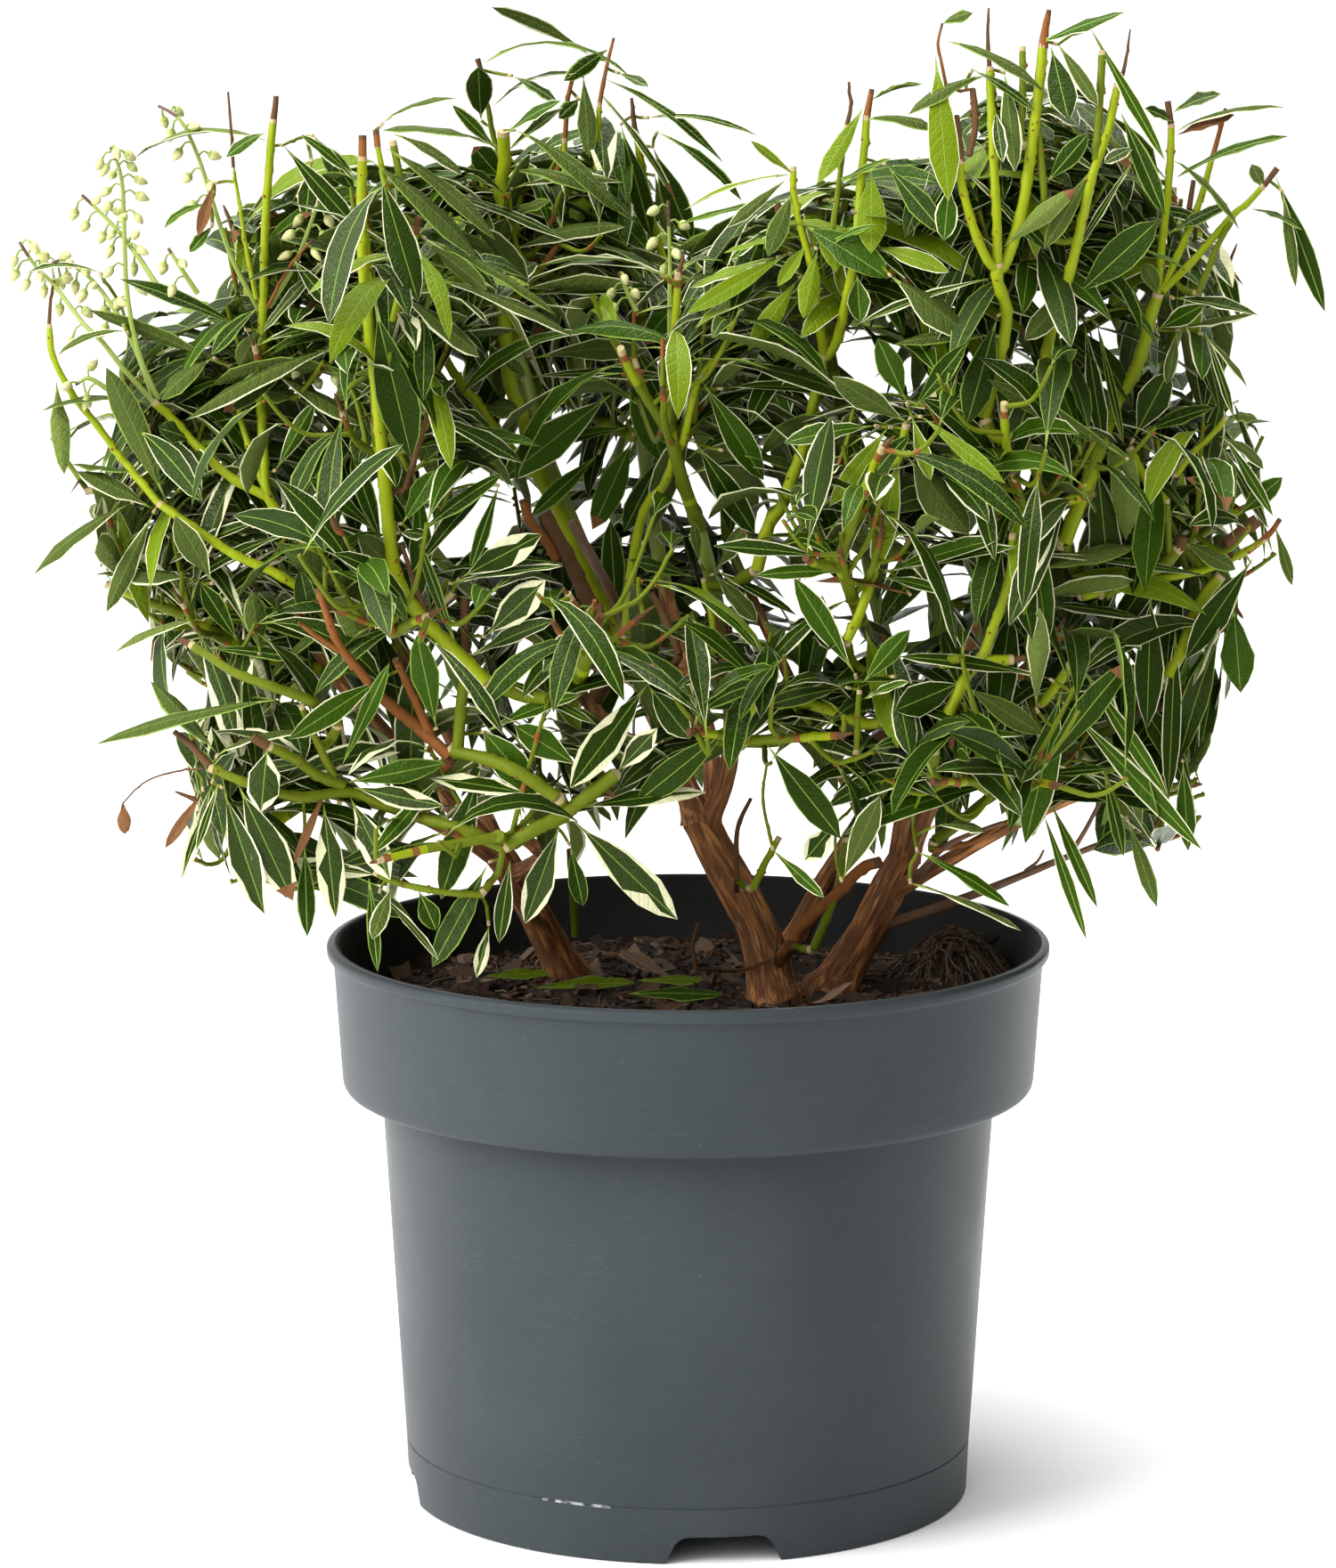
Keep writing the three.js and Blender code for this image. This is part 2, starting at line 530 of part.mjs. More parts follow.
function makePot() {
  const padThickness = 2.5;
  const floor = underside.channelHeight + padThickness;
  const pad = underside.padRadius;
  const profile = [
    [0, 0], [pad, 0], [pad + underside.slope, underside.channelHeight],
    [footRadius - wall, underside.channelHeight], [footRadius - wall, 0], [footRadius, 0],
    [footRadius + 0.9, seamHeight - 0.5], [bodyRadius.bottom, seamHeight + 0.5],
    [bodyRadius.top, bandBottom - 5], [bandRadius.bottom - 2.6, bandBottom - 3],
    [bandRadius.bottom, bandBottom + 1], [bandRadius.top, potHeight - 6],
    [rimRadius, potHeight - 4.2], [rimRadius - 0.6, potHeight - 0.8], [rimRadius - 2.8, potHeight],
    [rimRadius - 5, potHeight - 1.4], [bandRadius.bottom - wall, bandBottom + 2],
    [bodyRadius.top - wall, bandBottom - 3], [footRadius - wall, floor], [pad + underside.slope - 1, floor],
    [pad - 1.6, padThickness], [0, padThickness],
  ];
  let pot = solidFrom(turnedProfile(profile));
  for (let i = 0; i < notch.count; i++) {
    pot = pot.subtract(notchSolid(notch.turn + i * 2 * Math.PI / notch.count));
  }
  return pot;
}

function makeSoil() {
  const inner = clear + 0.1;
  const pad = underside.padRadius;
  const floor = underside.channelHeight + 2.5 + clear;
  const edge = bandRadius.bottom - wall - inner + 1.2;
  const profile = [
    [0, floor], [footRadius - wall - inner, floor], [bodyRadius.top - wall - inner, bandBottom - 3 + clear],
    [edge - 1.8, bandBottom + 2.6], [edge, soilRim], [edge - 14, soilTop - 1], [edge - 30, soilTop],
    [edge - 50, soilTop], [0, soilTop],
  ];
  const bed = turnedProfile(profile);
  const spot = bed.attributes.position;
  for (let i = 0; i < spot.count; i++) {
    const away = Math.hypot(spot.getX(i) - mossMound.x, spot.getY(i) - mossMound.y) / mossMound.radius;
    const lift = away < 1 ? mossMound.height * (1 - away * away) ** 2 : 0;
    if (spot.getZ(i) > soilRim - 1) spot.setZ(i, spot.getZ(i) + lift);
  }
  return solidFrom(bed);
}

// ---- the whole shrub

const shrub = new THREE.Group();
const pot = makePot();
const soil = makeSoil();
shrub.add(meshFrom('pot', pot, 0x4a5254, 0.45));
shrub.add(meshFrom('soil', soil, 0x3a2b20, 1));

for (const trunk of trunks) shrub.add(growTrunk(trunk));
for (const bough of boughs) shrub.add(growBough(bough, 5, barkBrown));
for (const piece of deadwood) shrub.add(growBough(piece, 4, deadBrown));

for (const mass of masses) {
  const stem = stemOf(mass);
  const solid = cutClear(limbSolid(stem), obstacles);
  keepLimb(stem, solid);
}
for (const [name, solid] of [['pot', pot], ['soil', soil]]) {
  obstacles.push({ name, solid, box: solid.boundingBox() });
}
for (const mass of masses) {
  const solid = growMass({ ...usual, ...mass }, grown.get(mass.name), seeded(mass.name));
  shrub.add(meshFrom(mass.name, solid, leafGreen, 0.5));
}

export default shrub;
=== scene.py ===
import math
import bpy
import numpy as np
from mathutils import Matrix, Vector, noise
from mathutils.kdtree import KDTree


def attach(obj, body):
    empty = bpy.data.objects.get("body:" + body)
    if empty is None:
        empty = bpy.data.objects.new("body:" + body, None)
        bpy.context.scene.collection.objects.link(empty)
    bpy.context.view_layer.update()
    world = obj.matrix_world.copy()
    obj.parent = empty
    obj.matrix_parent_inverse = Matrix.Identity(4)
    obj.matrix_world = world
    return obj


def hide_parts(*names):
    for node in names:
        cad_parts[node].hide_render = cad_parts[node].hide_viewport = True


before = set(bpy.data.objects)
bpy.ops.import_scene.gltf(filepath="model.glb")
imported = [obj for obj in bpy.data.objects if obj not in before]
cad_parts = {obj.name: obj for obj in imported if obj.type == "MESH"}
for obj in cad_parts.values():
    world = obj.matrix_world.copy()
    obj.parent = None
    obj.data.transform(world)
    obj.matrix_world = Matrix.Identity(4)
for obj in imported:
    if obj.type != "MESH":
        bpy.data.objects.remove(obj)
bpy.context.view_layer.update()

mm = 0.001  # routes and sizes below are in millimetres
up = Vector((0, 0, 1))
goldenAngle = math.radians(137.508)


# working on one object at a time

def deselectAll():
    bpy.ops.object.select_all(action="DESELECT")


def makeActive(piece):
    deselectAll()
    piece.select_set(True)
    bpy.context.view_layer.objects.active = piece


def objectMode():
    bpy.ops.object.mode_set(mode="OBJECT")


def editAll(action="SELECT"):
    bpy.ops.object.mode_set(mode="EDIT")
    bpy.ops.mesh.select_all(action=action)


def takeMesh(piece):  # the points and faces of a model that is copied many times
    points = np.array([vertex.co[:] for vertex in piece.data.vertices])
    faces = [list(face.vertices) for face in piece.data.polygons]
    bpy.data.objects.remove(piece)
    return points, faces


def settle(piece):  # the place goes into the mesh
    makeActive(piece)
    bpy.ops.object.transform_apply(location=True, rotation=True, scale=True)


def applyModifiers(piece):
    makeActive(piece)
    for modifier in list(piece.modifiers):
        bpy.ops.object.modifier_apply(modifier=modifier.name)


def smoothByAngle(piece, degrees):
    makeActive(piece)
    bpy.ops.object.shade_smooth_by_angle(angle=math.radians(degrees))


def joinAs(name, pieces):
    deselectAll()
    for piece in pieces:
        piece.select_set(True)
    bpy.context.view_layer.objects.active = pieces[0]
    if len(pieces) > 1:
        bpy.ops.object.join()
    return named(name)


def named(name):
    piece = bpy.context.object
    piece.name = name
    piece.data.name = name
    return piece


def dress(piece, *materials):
    piece.data.materials.clear()
    for material in materials:
        piece.data.materials.append(material)


def handOver(piece, slotName, *nodes):  # rides on the one body, and stands for its nodes
    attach(piece, "root")
    if nodes:
        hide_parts(*nodes)
    print(f"  {piece.name}: {len(piece.data.polygons)} faces")


# curves and seeded draws, the same as the solids'

def curvePoint(points, t):
    last = len(points) - 1
    run = min(max(t, 0), 1) * last
    k = min(int(run), last - 1)
    w = run - k
    a, b = points[k], points[k + 1]
    before = points[k - 1] if k > 0 else a * 2 - b
    after = points[k + 2] if k + 2 <= last else b * 2 - a
    outA, intoB = (b - before) * 0.5, (after - a) * 0.5
    square, cube = (a - b) * -3 - outA * 2 - intoB, (a - b) * 2 + outA + intoB
    return a + outA * w + square * w * w + cube * w ** 3


def curveTangent(points, t):
    near = 0.0005
    ahead, behind = min(t + near, 1), max(t - near, 0)
    return (curvePoint(points, ahead) - curvePoint(points, behind)).normalized()


def curveLength(points):
    spots = [curvePoint(points, k / 12) for k in range(13)]
    return sum((b - a).length for a, b in zip(spots, spots[1:]))


def aside(axis, turn, across=Vector((0.31, 0.95, 0.05))):
    flat = axis.cross(across).normalized()
    return flat * math.cos(turn) + axis.cross(flat) * math.sin(turn)


def seeded(name):
    state = 7
    for letter in name:
        state = (state * 31 + ord(letter)) & 0xffffffff

    def draw():
        nonlocal state
        state = (state + 0x6d2b79f5) & 0xffffffff
        mixed = ((state ^ (state >> 15)) * (state | 1)) & 0xffffffff
        mixed ^= (mixed + (((mixed ^ (mixed >> 7)) * (mixed | 61)) & 0xffffffff)) & 0xffffffff
        return (mixed ^ (mixed >> 14)) / 4294967296
    return draw


def vectors(rows):
    return [Vector(row) for row in rows]


# a heap gathers many small shapes into one mesh

class Heap:
    def __init__(self):
        self.points, self.faces, self.slots, self.extras = [], [], [], {}
        self.count = 0

    def add(self, points, faces, slots, **extras):
        self.points.append(np.asarray(points, dtype=float))
        self.faces += [[corner + self.count for corner in face] for face in faces]
        self.slots += list(slots) if hasattr(slots, "__len__") else [slots] * len(faces)
        for key, values in extras.items():
            self.extras.setdefault(key, []).append(np.asarray(values, dtype=float))
        self.count += len(points)

    def build(self, name, materials, angle=40):
        mesh = bpy.data.meshes.new(name)
        mesh.from_pydata((np.concatenate(self.points) * mm).tolist(), [], self.faces)
        for material in materials:
            mesh.materials.append(material)
        mesh.polygons.foreach_set("material_index", self.slots)
        for key, values in self.extras.items():
            flat = np.concatenate(values)
            if key == "uv":
                corners = np.empty(len(mesh.loops), dtype=np.int32)
                mesh.loops.foreach_get("vertex_index", corners)
                layer = mesh.uv_layers.new(name="blade")
                layer.data.foreach_set("uv", flat[corners].ravel())
            elif flat.ndim == 2:
                mesh.attributes.new(key, "FLOAT_VECTOR", "POINT").data.foreach_set("vector", flat.ravel())
            else:
                mesh.attributes.new(key, "FLOAT", "POINT").data.foreach_set("value", flat)
        piece = bpy.data.objects.new(name, mesh)
        bpy.context.collection.objects.link(piece)
        smoothByAngle(piece, angle)
        return piece


def ringFrames(centres):  # a frame at each ring that doesn't spin about the run
    frames = []
    across = Vector((0.3, 1, 0.1))
    last = len(centres) - 1
    for k in range(last + 1):
        along = (centres[min(k + 1, last)] - centres[max(k - 1, 0)]).normalized()
        across = (across - along * across.dot(along)).normalized()
        frames.append((along, across, along.cross(across)))
    return frames


def addTube(heap, centres, radii, sides, slots, relief=None, **extras):
    frames = ringFrames(centres)
    turns = [2 * math.pi * j / sides for j in range(sides)]
    points, grain, run = [], [], 0
    for k, (centre, radius, (along, across, other)) in enumerate(zip(centres, radii, frames)):
        run += (centre - centres[k - 1]).length if k else 0
        for turn in turns:
            lift = relief(radius, turn, run) if relief else 0
            points.append(centre + (across * math.cos(turn) + other * math.sin(turn)) * (radius + lift))
            grain.append((radius * math.cos(turn) * mm, radius * math.sin(turn) * mm, run * mm))
    points += [centres[0], centres[-1]]
    grain += [(0, 0, 0), (0, 0, run * mm)]
    faces, faceSlots = [], []
    rings = len(centres)
    for k in range(rings - 1):
        for j in range(sides):
            a, b = k * sides + j, k * sides + (j + 1) % sides
            faces.append((a, b, b + sides, a + sides))
            faceSlots.append(slots[k] if hasattr(slots, "__len__") else slots)
    foot, tip = rings * sides, rings * sides + 1
    for j in range(sides):
        faces.append((foot, (j + 1) % sides, j))
        faces.append((tip, (rings - 1) * sides + j, (rings - 1) * sides + (j + 1) % sides))
        faceSlots += [slots[0], slots[-1]] if hasattr(slots, "__len__") else [slots] * 2
    if "grain" in extras:
        extras["grain"] = grain
    if "age" in extras:
        ages = extras["age"]
        extras["age"] = [age for age in ages for _ in turns] + [ages[0], ages[-1]]
    heap.add(points, faces, faceSlots, **extras)


# shader parts that several finishes share

def nodeGroup(name, inputs, outputs):
    group = bpy.data.node_groups.new(name, "ShaderNodeTree")
    for label, kind, value in inputs:
        socket = group.interface.new_socket(name=label, in_out="INPUT", socket_type=kind)
        if value is not None:
            socket.default_value = value
    for label, kind in outputs:
        group.interface.new_socket(name=label, in_out="OUTPUT", socket_type=kind)
    return group, group.nodes.new("NodeGroupInput"), group.nodes.new("NodeGroupOutput")


def mathNode(tree, operation, first, second=None):
    node = tree.nodes.new("ShaderNodeMath")
    node.operation = operation
    for socket, value in zip(node.inputs, (first, second)):
        if isinstance(value, (int, float)):
            socket.default_value = value
        elif value is not None:
            tree.links.new(value, socket)
    return node.outputs[0]


def makeMottleGroup():  # a soft cloudy mask, drawn out along Z by Stretch
    group, into, out = nodeGroup("mottle", [
        ("Vector", "NodeSocketVector", None), ("Scale", "NodeSocketFloat", 100),
        ("Stretch", "NodeSocketFloat", 1), ("Low", "NodeSocketFloat", 0.35),
        ("High", "NodeSocketFloat", 0.65)], [("Mask", "NodeSocketFloat")])
    nodes, links = group.nodes, group.links
    squeeze = nodes.new("ShaderNodeCombineXYZ")
    squeeze.inputs[0].default_value = 1
    squeeze.inputs[1].default_value = 1
    links.new(mathNode(group, "DIVIDE", 1, into.outputs["Stretch"]), squeeze.inputs[2])
    scaled = nodes.new("ShaderNodeVectorMath")
    scaled.operation = "MULTIPLY"
    links.new(into.outputs["Vector"], scaled.inputs[0])
    links.new(squeeze.outputs[0], scaled.inputs[1])
    cloud = nodes.new("ShaderNodeTexNoise")
    cloud.inputs["Detail"].default_value = 6
    links.new(scaled.outputs[0], cloud.inputs["Vector"])
    links.new(into.outputs["Scale"], cloud.inputs["Scale"])
    ramp = nodes.new("ShaderNodeMapRange")
    ramp.interpolation_type = "SMOOTHSTEP"
    links.new(cloud.outputs[0], ramp.inputs["Value"])
    links.new(into.outputs["Low"], ramp.inputs["From Min"])
    links.new(into.outputs["High"], ramp.inputs["From Max"])
    links.new(ramp.outputs[0], out.inputs["Mask"])
    return group


def makeVeinGroup():  # a leaf's raised net of veins, from its own UV map in mm
    group, into, out = nodeGroup("leafVeins", [
        ("Spacing", "NodeSocketFloat", 4.5), ("Strength", "NodeSocketFloat", 0.4)],
        [("Normal", "NodeSocketVector")])
    nodes, links = group.nodes, group.links
    place = nodes.new("ShaderNodeUVMap")
    place.uv_map = "blade"
    split = nodes.new("ShaderNodeSeparateXYZ")
    links.new(place.outputs[0], split.inputs[0])
    outward = mathNode(group, "ABSOLUTE", split.outputs[0])
    forward = mathNode(group, "SUBTRACT", split.outputs[1], outward)
    phase = mathNode(group, "DIVIDE", forward, into.outputs["Spacing"])
    wave = mathNode(group, "SINE", mathNode(group, "MULTIPLY", phase, 2 * math.pi))
    ribs = mathNode(group, "POWER", mathNode(group, "MULTIPLY_ADD", wave, 0.5), 6)
    net = nodes.new("ShaderNodeTexVoronoi")
    net.feature = "DISTANCE_TO_EDGE"
    net.inputs["Scale"].default_value = 0.75
    links.new(place.outputs[0], net.inputs["Vector"])
    furrow = mathNode(group, "MINIMUM", mathNode(group, "MULTIPLY", net.outputs[0], 5), 1)
    height = mathNode(group, "SUBTRACT", furrow, ribs)
    bump = nodes.new("ShaderNodeBump")
    bump.inputs["Distance"].default_value = 0.25 * mm
    links.new(into.outputs["Strength"], bump.inputs["Strength"])
    links.new(height, bump.inputs["Height"])
    links.new(bump.outputs[0], out.inputs["Normal"])
    return group


mottle = makeMottleGroup()
leafVeins = makeVeinGroup()


def newMaterial(name, color=(0.5, 0.5, 0.5), roughness=0.5):
    material = bpy.data.materials.new(name)
    material.use_nodes = True
    shader = material.node_tree.nodes["Principled BSDF"]
    shader.inputs["Base Color"].default_value = (*color, 1)
    shader.inputs["Roughness"].default_value = roughness
    return material, material.node_tree, shader


def placeGroup(tree, group, **values):
    node = tree.nodes.new("ShaderNodeGroup")
    node.node_tree = group
    for label, value in values.items():
        if isinstance(value, (int, float)):
            node.inputs[label].default_value = value
        else:
            tree.links.new(value, node.inputs[label])
    return node.outputs[0]


def mottled(tree, place, scale, low, high, stretch=1):
    return placeGroup(tree, mottle, Vector=place, Scale=scale, Stretch=stretch, Low=low, High=high)


def objectSpace(tree):
    return tree.nodes.new("ShaderNodeTexCoord").outputs["Object"]


def meshValue(tree, name, output):  # what the heap has laid on the mesh's points
    node = tree.nodes.new("ShaderNodeAttribute")
    node.attribute_name = name
    return node.outputs[output]


def shine(shader, level, tint):
    shader.inputs["Specular IOR Level"].default_value = level
    shader.inputs["Specular Tint"].default_value = (*tint, 1)


def blend(tree, mask, first, second):  # each end is a colour or a socket
    mix = tree.nodes.new("ShaderNodeMix")
    mix.data_type = "RGBA"
    for socket, value in ((mix.inputs[6], first), (mix.inputs[7], second)):
        if isinstance(value, tuple):
            socket.default_value = (*value, 1)
        else:
            tree.links.new(value, socket)
    if isinstance(mask, (int, float)):
        mix.inputs[0].default_value = mask
    else:
        tree.links.new(mask, mix.inputs[0])
    return mix.outputs[2]


def roughen(tree, shader, height, distance, strength=1):
    bump = tree.nodes.new("ShaderNodeBump")
    bump.inputs["Distance"].default_value = distance * mm
    bump.inputs["Strength"].default_value = strength
    tree.links.new(height, bump.inputs["Height"])
    tree.links.new(bump.outputs[0], shader.inputs["Normal"])


def ranged(tree, mask, low, high):
    node = tree.nodes.new("ShaderNodeMapRange")
    node.inputs["To Min"].default_value = low
    node.inputs["To Max"].default_value = high
    tree.links.new(mask, node.inputs["Value"])
    return node.outputs[0]


def earthMaterial(name, color, scale):
    material, tree, shader = newMaterial(name, color, 0.85)
    rough = mottled(tree, objectSpace(tree), scale, 0.3, 0.7)
    roughen(tree, shader, rough, 0.6, 0.9)
    return material


# pot

potShape = {
    "sides": 144,
    "foot": 109.4, "wall": 2.3, "padRadius": 44, "channel": 10.5, "padThickness": 2.5,
    "seam": 21.4, "bodyFoot": 110.4, "bodyTop": 119, "bandBottom": 163.8,
    "bandLow": 134.4, "bandHigh": 137.4, "rim": 140, "height": 218,
    "notches": 4, "notchTurn": 6.9, "notchFoot": 48, "notchTop": 34, "notchCorner": 4,
    "notchDeep": 30, "notchSpare": 4,
}
plastic = {
    "slate": (0.038, 0.046, 0.050), "worn": (0.045, 0.054, 0.058), "dust": (0.10, 0.10, 0.095),
    # inside: a colour darker than the slate, painted shade on the pot's inner wall
    "nick": (0.42, 0.44, 0.44), "sheen": (0.16, 0.17, 0.18), "inside": (0.022, 0.023, 0.024),
    "shine": 0.22, "roughLow": 0.38, "roughHigh": 0.48, "nicksAt": -42, "nicksReach": 13,
}


def roundedProfile(corners):  # (radius, height, rounding), as a fine chain
    chain = []
    for k, (radius, height, rounding) in enumerate(corners):
        here = Vector((radius, height))
        if not rounding:
            chain.append(here)
            continue
        before, after = Vector(corners[k - 1][:2]), Vector(corners[k + 1][:2])
        start = here + (before - here).normalized() * rounding
        end = here + (after - here).normalized() * rounding
        for step in range(5):
            t = step / 4
            chain.append(start * (1 - t) ** 2 + here * 2 * t * (1 - t) + end * t * t)
    return chain


def turnedShape(name, chain, sides):  # one point is extruded along the chain and spun
    deselectAll()
    bpy.ops.mesh.primitive_plane_add(size=mm, location=(0, 0, 0))
    editAll()
    bpy.ops.mesh.merge(type="CENTER")
    bpy.ops.transform.translate(value=(chain[0][0] * mm, 0, chain[0][1] * mm))
    for a, b in zip(chain, chain[1:]):
        step = ((b[0] - a[0]) * mm, 0, (b[1] - a[1]) * mm)
        bpy.ops.mesh.extrude_region_move(TRANSFORM_OT_translate={"value": step})
    bpy.ops.mesh.select_all(action="SELECT")
    bpy.ops.mesh.spin(steps=sides, angle=2 * math.pi, center=(0, 0, 0), axis=(0, 0, 1))
    bpy.ops.mesh.select_all(action="SELECT")
    bpy.ops.mesh.remove_doubles(threshold=0.002 * mm)
    bpy.ops.mesh.normals_make_consistent(inside=False)
    objectMode()
    return named(name)


def notchCutter(turn):
    shape = potShape
    height = shape["channel"] + shape["notchSpare"]
    deselectAll()
    bpy.ops.mesh.primitive_cube_add(size=1)
    cutter = bpy.context.object
    cutter.scale = (shape["notchFoot"] * mm, shape["notchDeep"] * mm, height * mm)
    cutter.location = (0, -shape["foot"] * mm, (shape["channel"] - height / 2) * mm)
    settle(cutter)
    editAll("DESELECT")
    objectMode()
    for edge in cutter.data.edges:
        ends = [cutter.data.vertices[i].co for i in edge.vertices]
        edge.select = all(end.z > 0 for end in ends) and abs(ends[0].x - ends[1].x) < mm
    for vertex in cutter.data.vertices:
        if vertex.co.z > 0:
            vertex.co.x *= shape["notchTop"] / shape["notchFoot"]
    bpy.ops.object.mode_set(mode="EDIT")
    bpy.ops.mesh.bevel(offset=shape["notchCorner"] * mm, segments=5)
    objectMode()
    cutter.rotation_euler.z = turn
    settle(cutter)
    return cutter


def makePot():
    p = potShape
    wall, foot, floor = p["wall"], p["foot"], p["channel"] + p["padThickness"]
    corners = [
        (0, 0, 0), (p["padRadius"], 0, 1.5), (p["padRadius"] + 4, p["channel"], 1.5),
        (foot - wall, p["channel"], 1), (foot - wall, 0, 0.7), (foot, 0, 0.9),
        (foot + 0.9, p["seam"] - 0.55, 0.1), (foot + 0.55, p["seam"] - 0.15, 0),
        (p["bodyFoot"] - 0.35, p["seam"] + 0.15, 0), (p["bodyFoot"], p["seam"] + 0.5, 0.1),
        (p["bodyTop"] - 0.2, p["bandBottom"] - 7, 0), (p["bodyTop"] + 0.3, p["bandBottom"] - 3.6, 1.6),
        (p["bandLow"] - 0.6, p["bandBottom"] - 2.6, 3.2), (p["bandLow"] + 0.1, p["bandBottom"] + 6, 0),
        (p["bandHigh"] - 0.5, p["height"] - 12, 0), (p["bandHigh"], p["height"] - 5.6, 0.5),
        (p["rim"] - 0.3, p["height"] - 4.6, 0.8), (p["rim"], p["height"] - 0.4, 2),
        (p["rim"] - 5, p["height"], 1.8), (p["bandLow"] - wall + 2.2, p["height"] - 8, 2),
        (p["bandLow"] - wall, p["bandBottom"] + 2, 1), (p["bodyTop"] - wall, p["bandBottom"] - 2, 2),
        (foot - wall, floor, 1), (p["padRadius"] + 3, floor, 1),
        (p["padRadius"] - 1.6, p["padThickness"], 1), (0, p["padThickness"], 0),
    ]
    pot = turnedShape("potShell", roundedProfile(corners), p["sides"])
    for k in range(p["notches"]):
        cutter = notchCutter(math.radians(p["notchTurn"]) + k * 2 * math.pi / p["notches"])
        cut = pot.modifiers.new("notch", "BOOLEAN")
        cut.object = cutter
        cut.solver = "EXACT"
        applyModifiers(pot)
        bpy.data.objects.remove(cutter)
    smoothByAngle(pot, 38)
    # the inward faces above the foot channel take the darker inside colour: painted shade in the pot's
    # hollow
    dress(pot, makePlastic(), earthMaterial("paintedShadeInside", plastic["inside"], 60))
    for face in pot.data.polygons:
        outward = face.normal.x * face.center.x + face.normal.y * face.center.y
        face.material_index = int(outward < 0 and face.center.z > potShape["channel"] * mm)
    handOver(pot, "pot_plastic", "pot")


def makePlastic():
    material, tree, shader = newMaterial("slatePlastic", plastic["slate"], 0.42)
    place = objectSpace(tree)
    split = tree.nodes.new("ShaderNodeSeparateXYZ")
    tree.links.new(place, split.inputs[0])
    cloudy = mottled(tree, place, 14, 0.35, 0.7)
    streaks = mottled(tree, place, 160, 0.5, 0.75, stretch=0.06)
    specks = mottled(tree, place, 420, 0.7, 0.76)
    color = blend(tree, cloudy, plastic["slate"], plastic["worn"])
    color = blend(tree, ranged(tree, streaks, 0, 0.18), color, plastic["dust"])
    color = blend(tree, ranged(tree, specks, 0, 0.5), color, plastic["dust"])
    # the parting seam is nicked pale at the front left
    seam = mathNode(tree, "ABSOLUTE", mathNode(tree, "SUBTRACT", split.outputs[2], potShape["seam"] * mm))
    onSeam = mathNode(tree, "LESS_THAN", seam, 0.55 * mm)
    nicks = mottled(tree, place, 190, 0.42, 0.58)
    away = mathNode(tree, "ABSOLUTE", mathNode(tree, "SUBTRACT", split.outputs[0], plastic["nicksAt"] * mm))
    side = mathNode(tree, "LESS_THAN", away, plastic["nicksReach"] * mm)
    seamMask = mathNode(tree, "MULTIPLY", mathNode(tree, "MULTIPLY", onSeam, nicks), side)
    color = blend(tree, mathNode(tree, "MULTIPLY", seamMask, 0.8), color, plastic["nick"])
    tree.links.new(color, shader.inputs["Base Color"])
    shine(shader, plastic["shine"], plastic["sheen"])
    roughness = ranged(tree, cloudy, plastic["roughLow"], plastic["roughHigh"])
    tree.links.new(roughness, shader.inputs["Roughness"])
    fine = mottled(tree, place, 900, 0.3, 0.7)
    roughen(tree, shader, fine, 0.05, 0.35)
    return material


makePot()
print("stage 1: pot")


# limbs: routes in mm, foot and tip are radii, flare is what the soil adds

soilTop = 196
standing = soilTop + 0.3
trunkShapes = {  # foot and tip radii, flare, and the route
    "trunk_centre": (8.4, 7.2, 3.2, (33, -14, standing), (28, -8, 220), (15, 1, 244), (4, 5, 264)),
    "trunk_right": (7.9, 6.6, 3.6, (56, 4, standing), (69, 6, 219), (84, 8, 248)),
    "trunk_left": (6.9, 5.8, 2.4, (-48, 36, standing), (-57, 28, 217), (-67, 13, 238), (-74, 2, 252)),
    "trunk_back": (5, 4.2, 1.6, (42, 94, standing), (55, 97, 220), (72, 100, 248)),
}
boughShapes = {  # limb, where on it, foot and tip radii, and the route
    "bough_centre_main": ("trunk_centre", 1, 6.3, 3.8, (-10, 5, 300), (-30, 3, 345), (-52, -5, 398),
        (-65, -14, 448)),
    "bough_centre_right": ("trunk_centre", 0.92, 5, 3.2, (16, -6, 290), (14, -32, 335), (4, -58, 385)),
    "bough_centre_back": ("trunk_centre", 0.84, 4.8, 2.9, (8, 42, 290), (-8, 76, 340), (-18, 84, 405),
        (-18, 70, 450)),
    "bough_centre_front": ("bough_centre_main", 0.14, 4, 3, (-26, -38, 304), (-42, -82, 328)),
    "bough_left_high": ("bough_centre_main", 0.36, 4, 2.9, (-56, -22, 338), (-88, -48, 366),
        (-108, -78, 398)),
    "bough_left_outer": ("trunk_left", 1, 4.6, 2.9, (-108, -8, 290), (-146, -18, 342), (-160, -24, 404)),
    "bough_left_low": ("trunk_left", 0.9, 4.3, 3.1, (-104, -30, 272), (-140, -46, 284)),
    "bough_left_front": ("trunk_left", 0.72, 4.3, 3.1, (-56, -32, 256), (-62, -80, 272)),
    "bough_left_back": ("trunk_left", 0.8, 4.1, 2.7, (-92, 48, 286), (-118, 80, 330), (-126, 88, 370)),
    "bough_right_main": ("trunk_right", 1, 5.4, 3.2, (104, 4, 300), (112, -8, 352), (118, -20, 402),
        (119, -30, 446)),
    "bough_right_inner": ("trunk_right", 0.88, 4.2, 2.8, (84, -8, 298), (70, -28, 358), (58, -42, 424)),
    "bough_right_outer": ("bough_right_main", 0.26, 3.8, 2.7, (142, 6, 334), (166, 0, 382),
        (180, -6, 432)),
    "bough_right_low": ("trunk_right", 0.74, 3.9, 2.7, (122, -24, 266), (158, -14, 280)),
    "bough_back_left": ("trunk_back", 1, 3.5, 2.4, (44, 124, 296), (16, 136, 356)),
    "bough_back_right": ("trunk_back", 0.86, 3.6, 2.4, (104, 106, 290), (120, 100, 350), (118, 80, 432)),
}
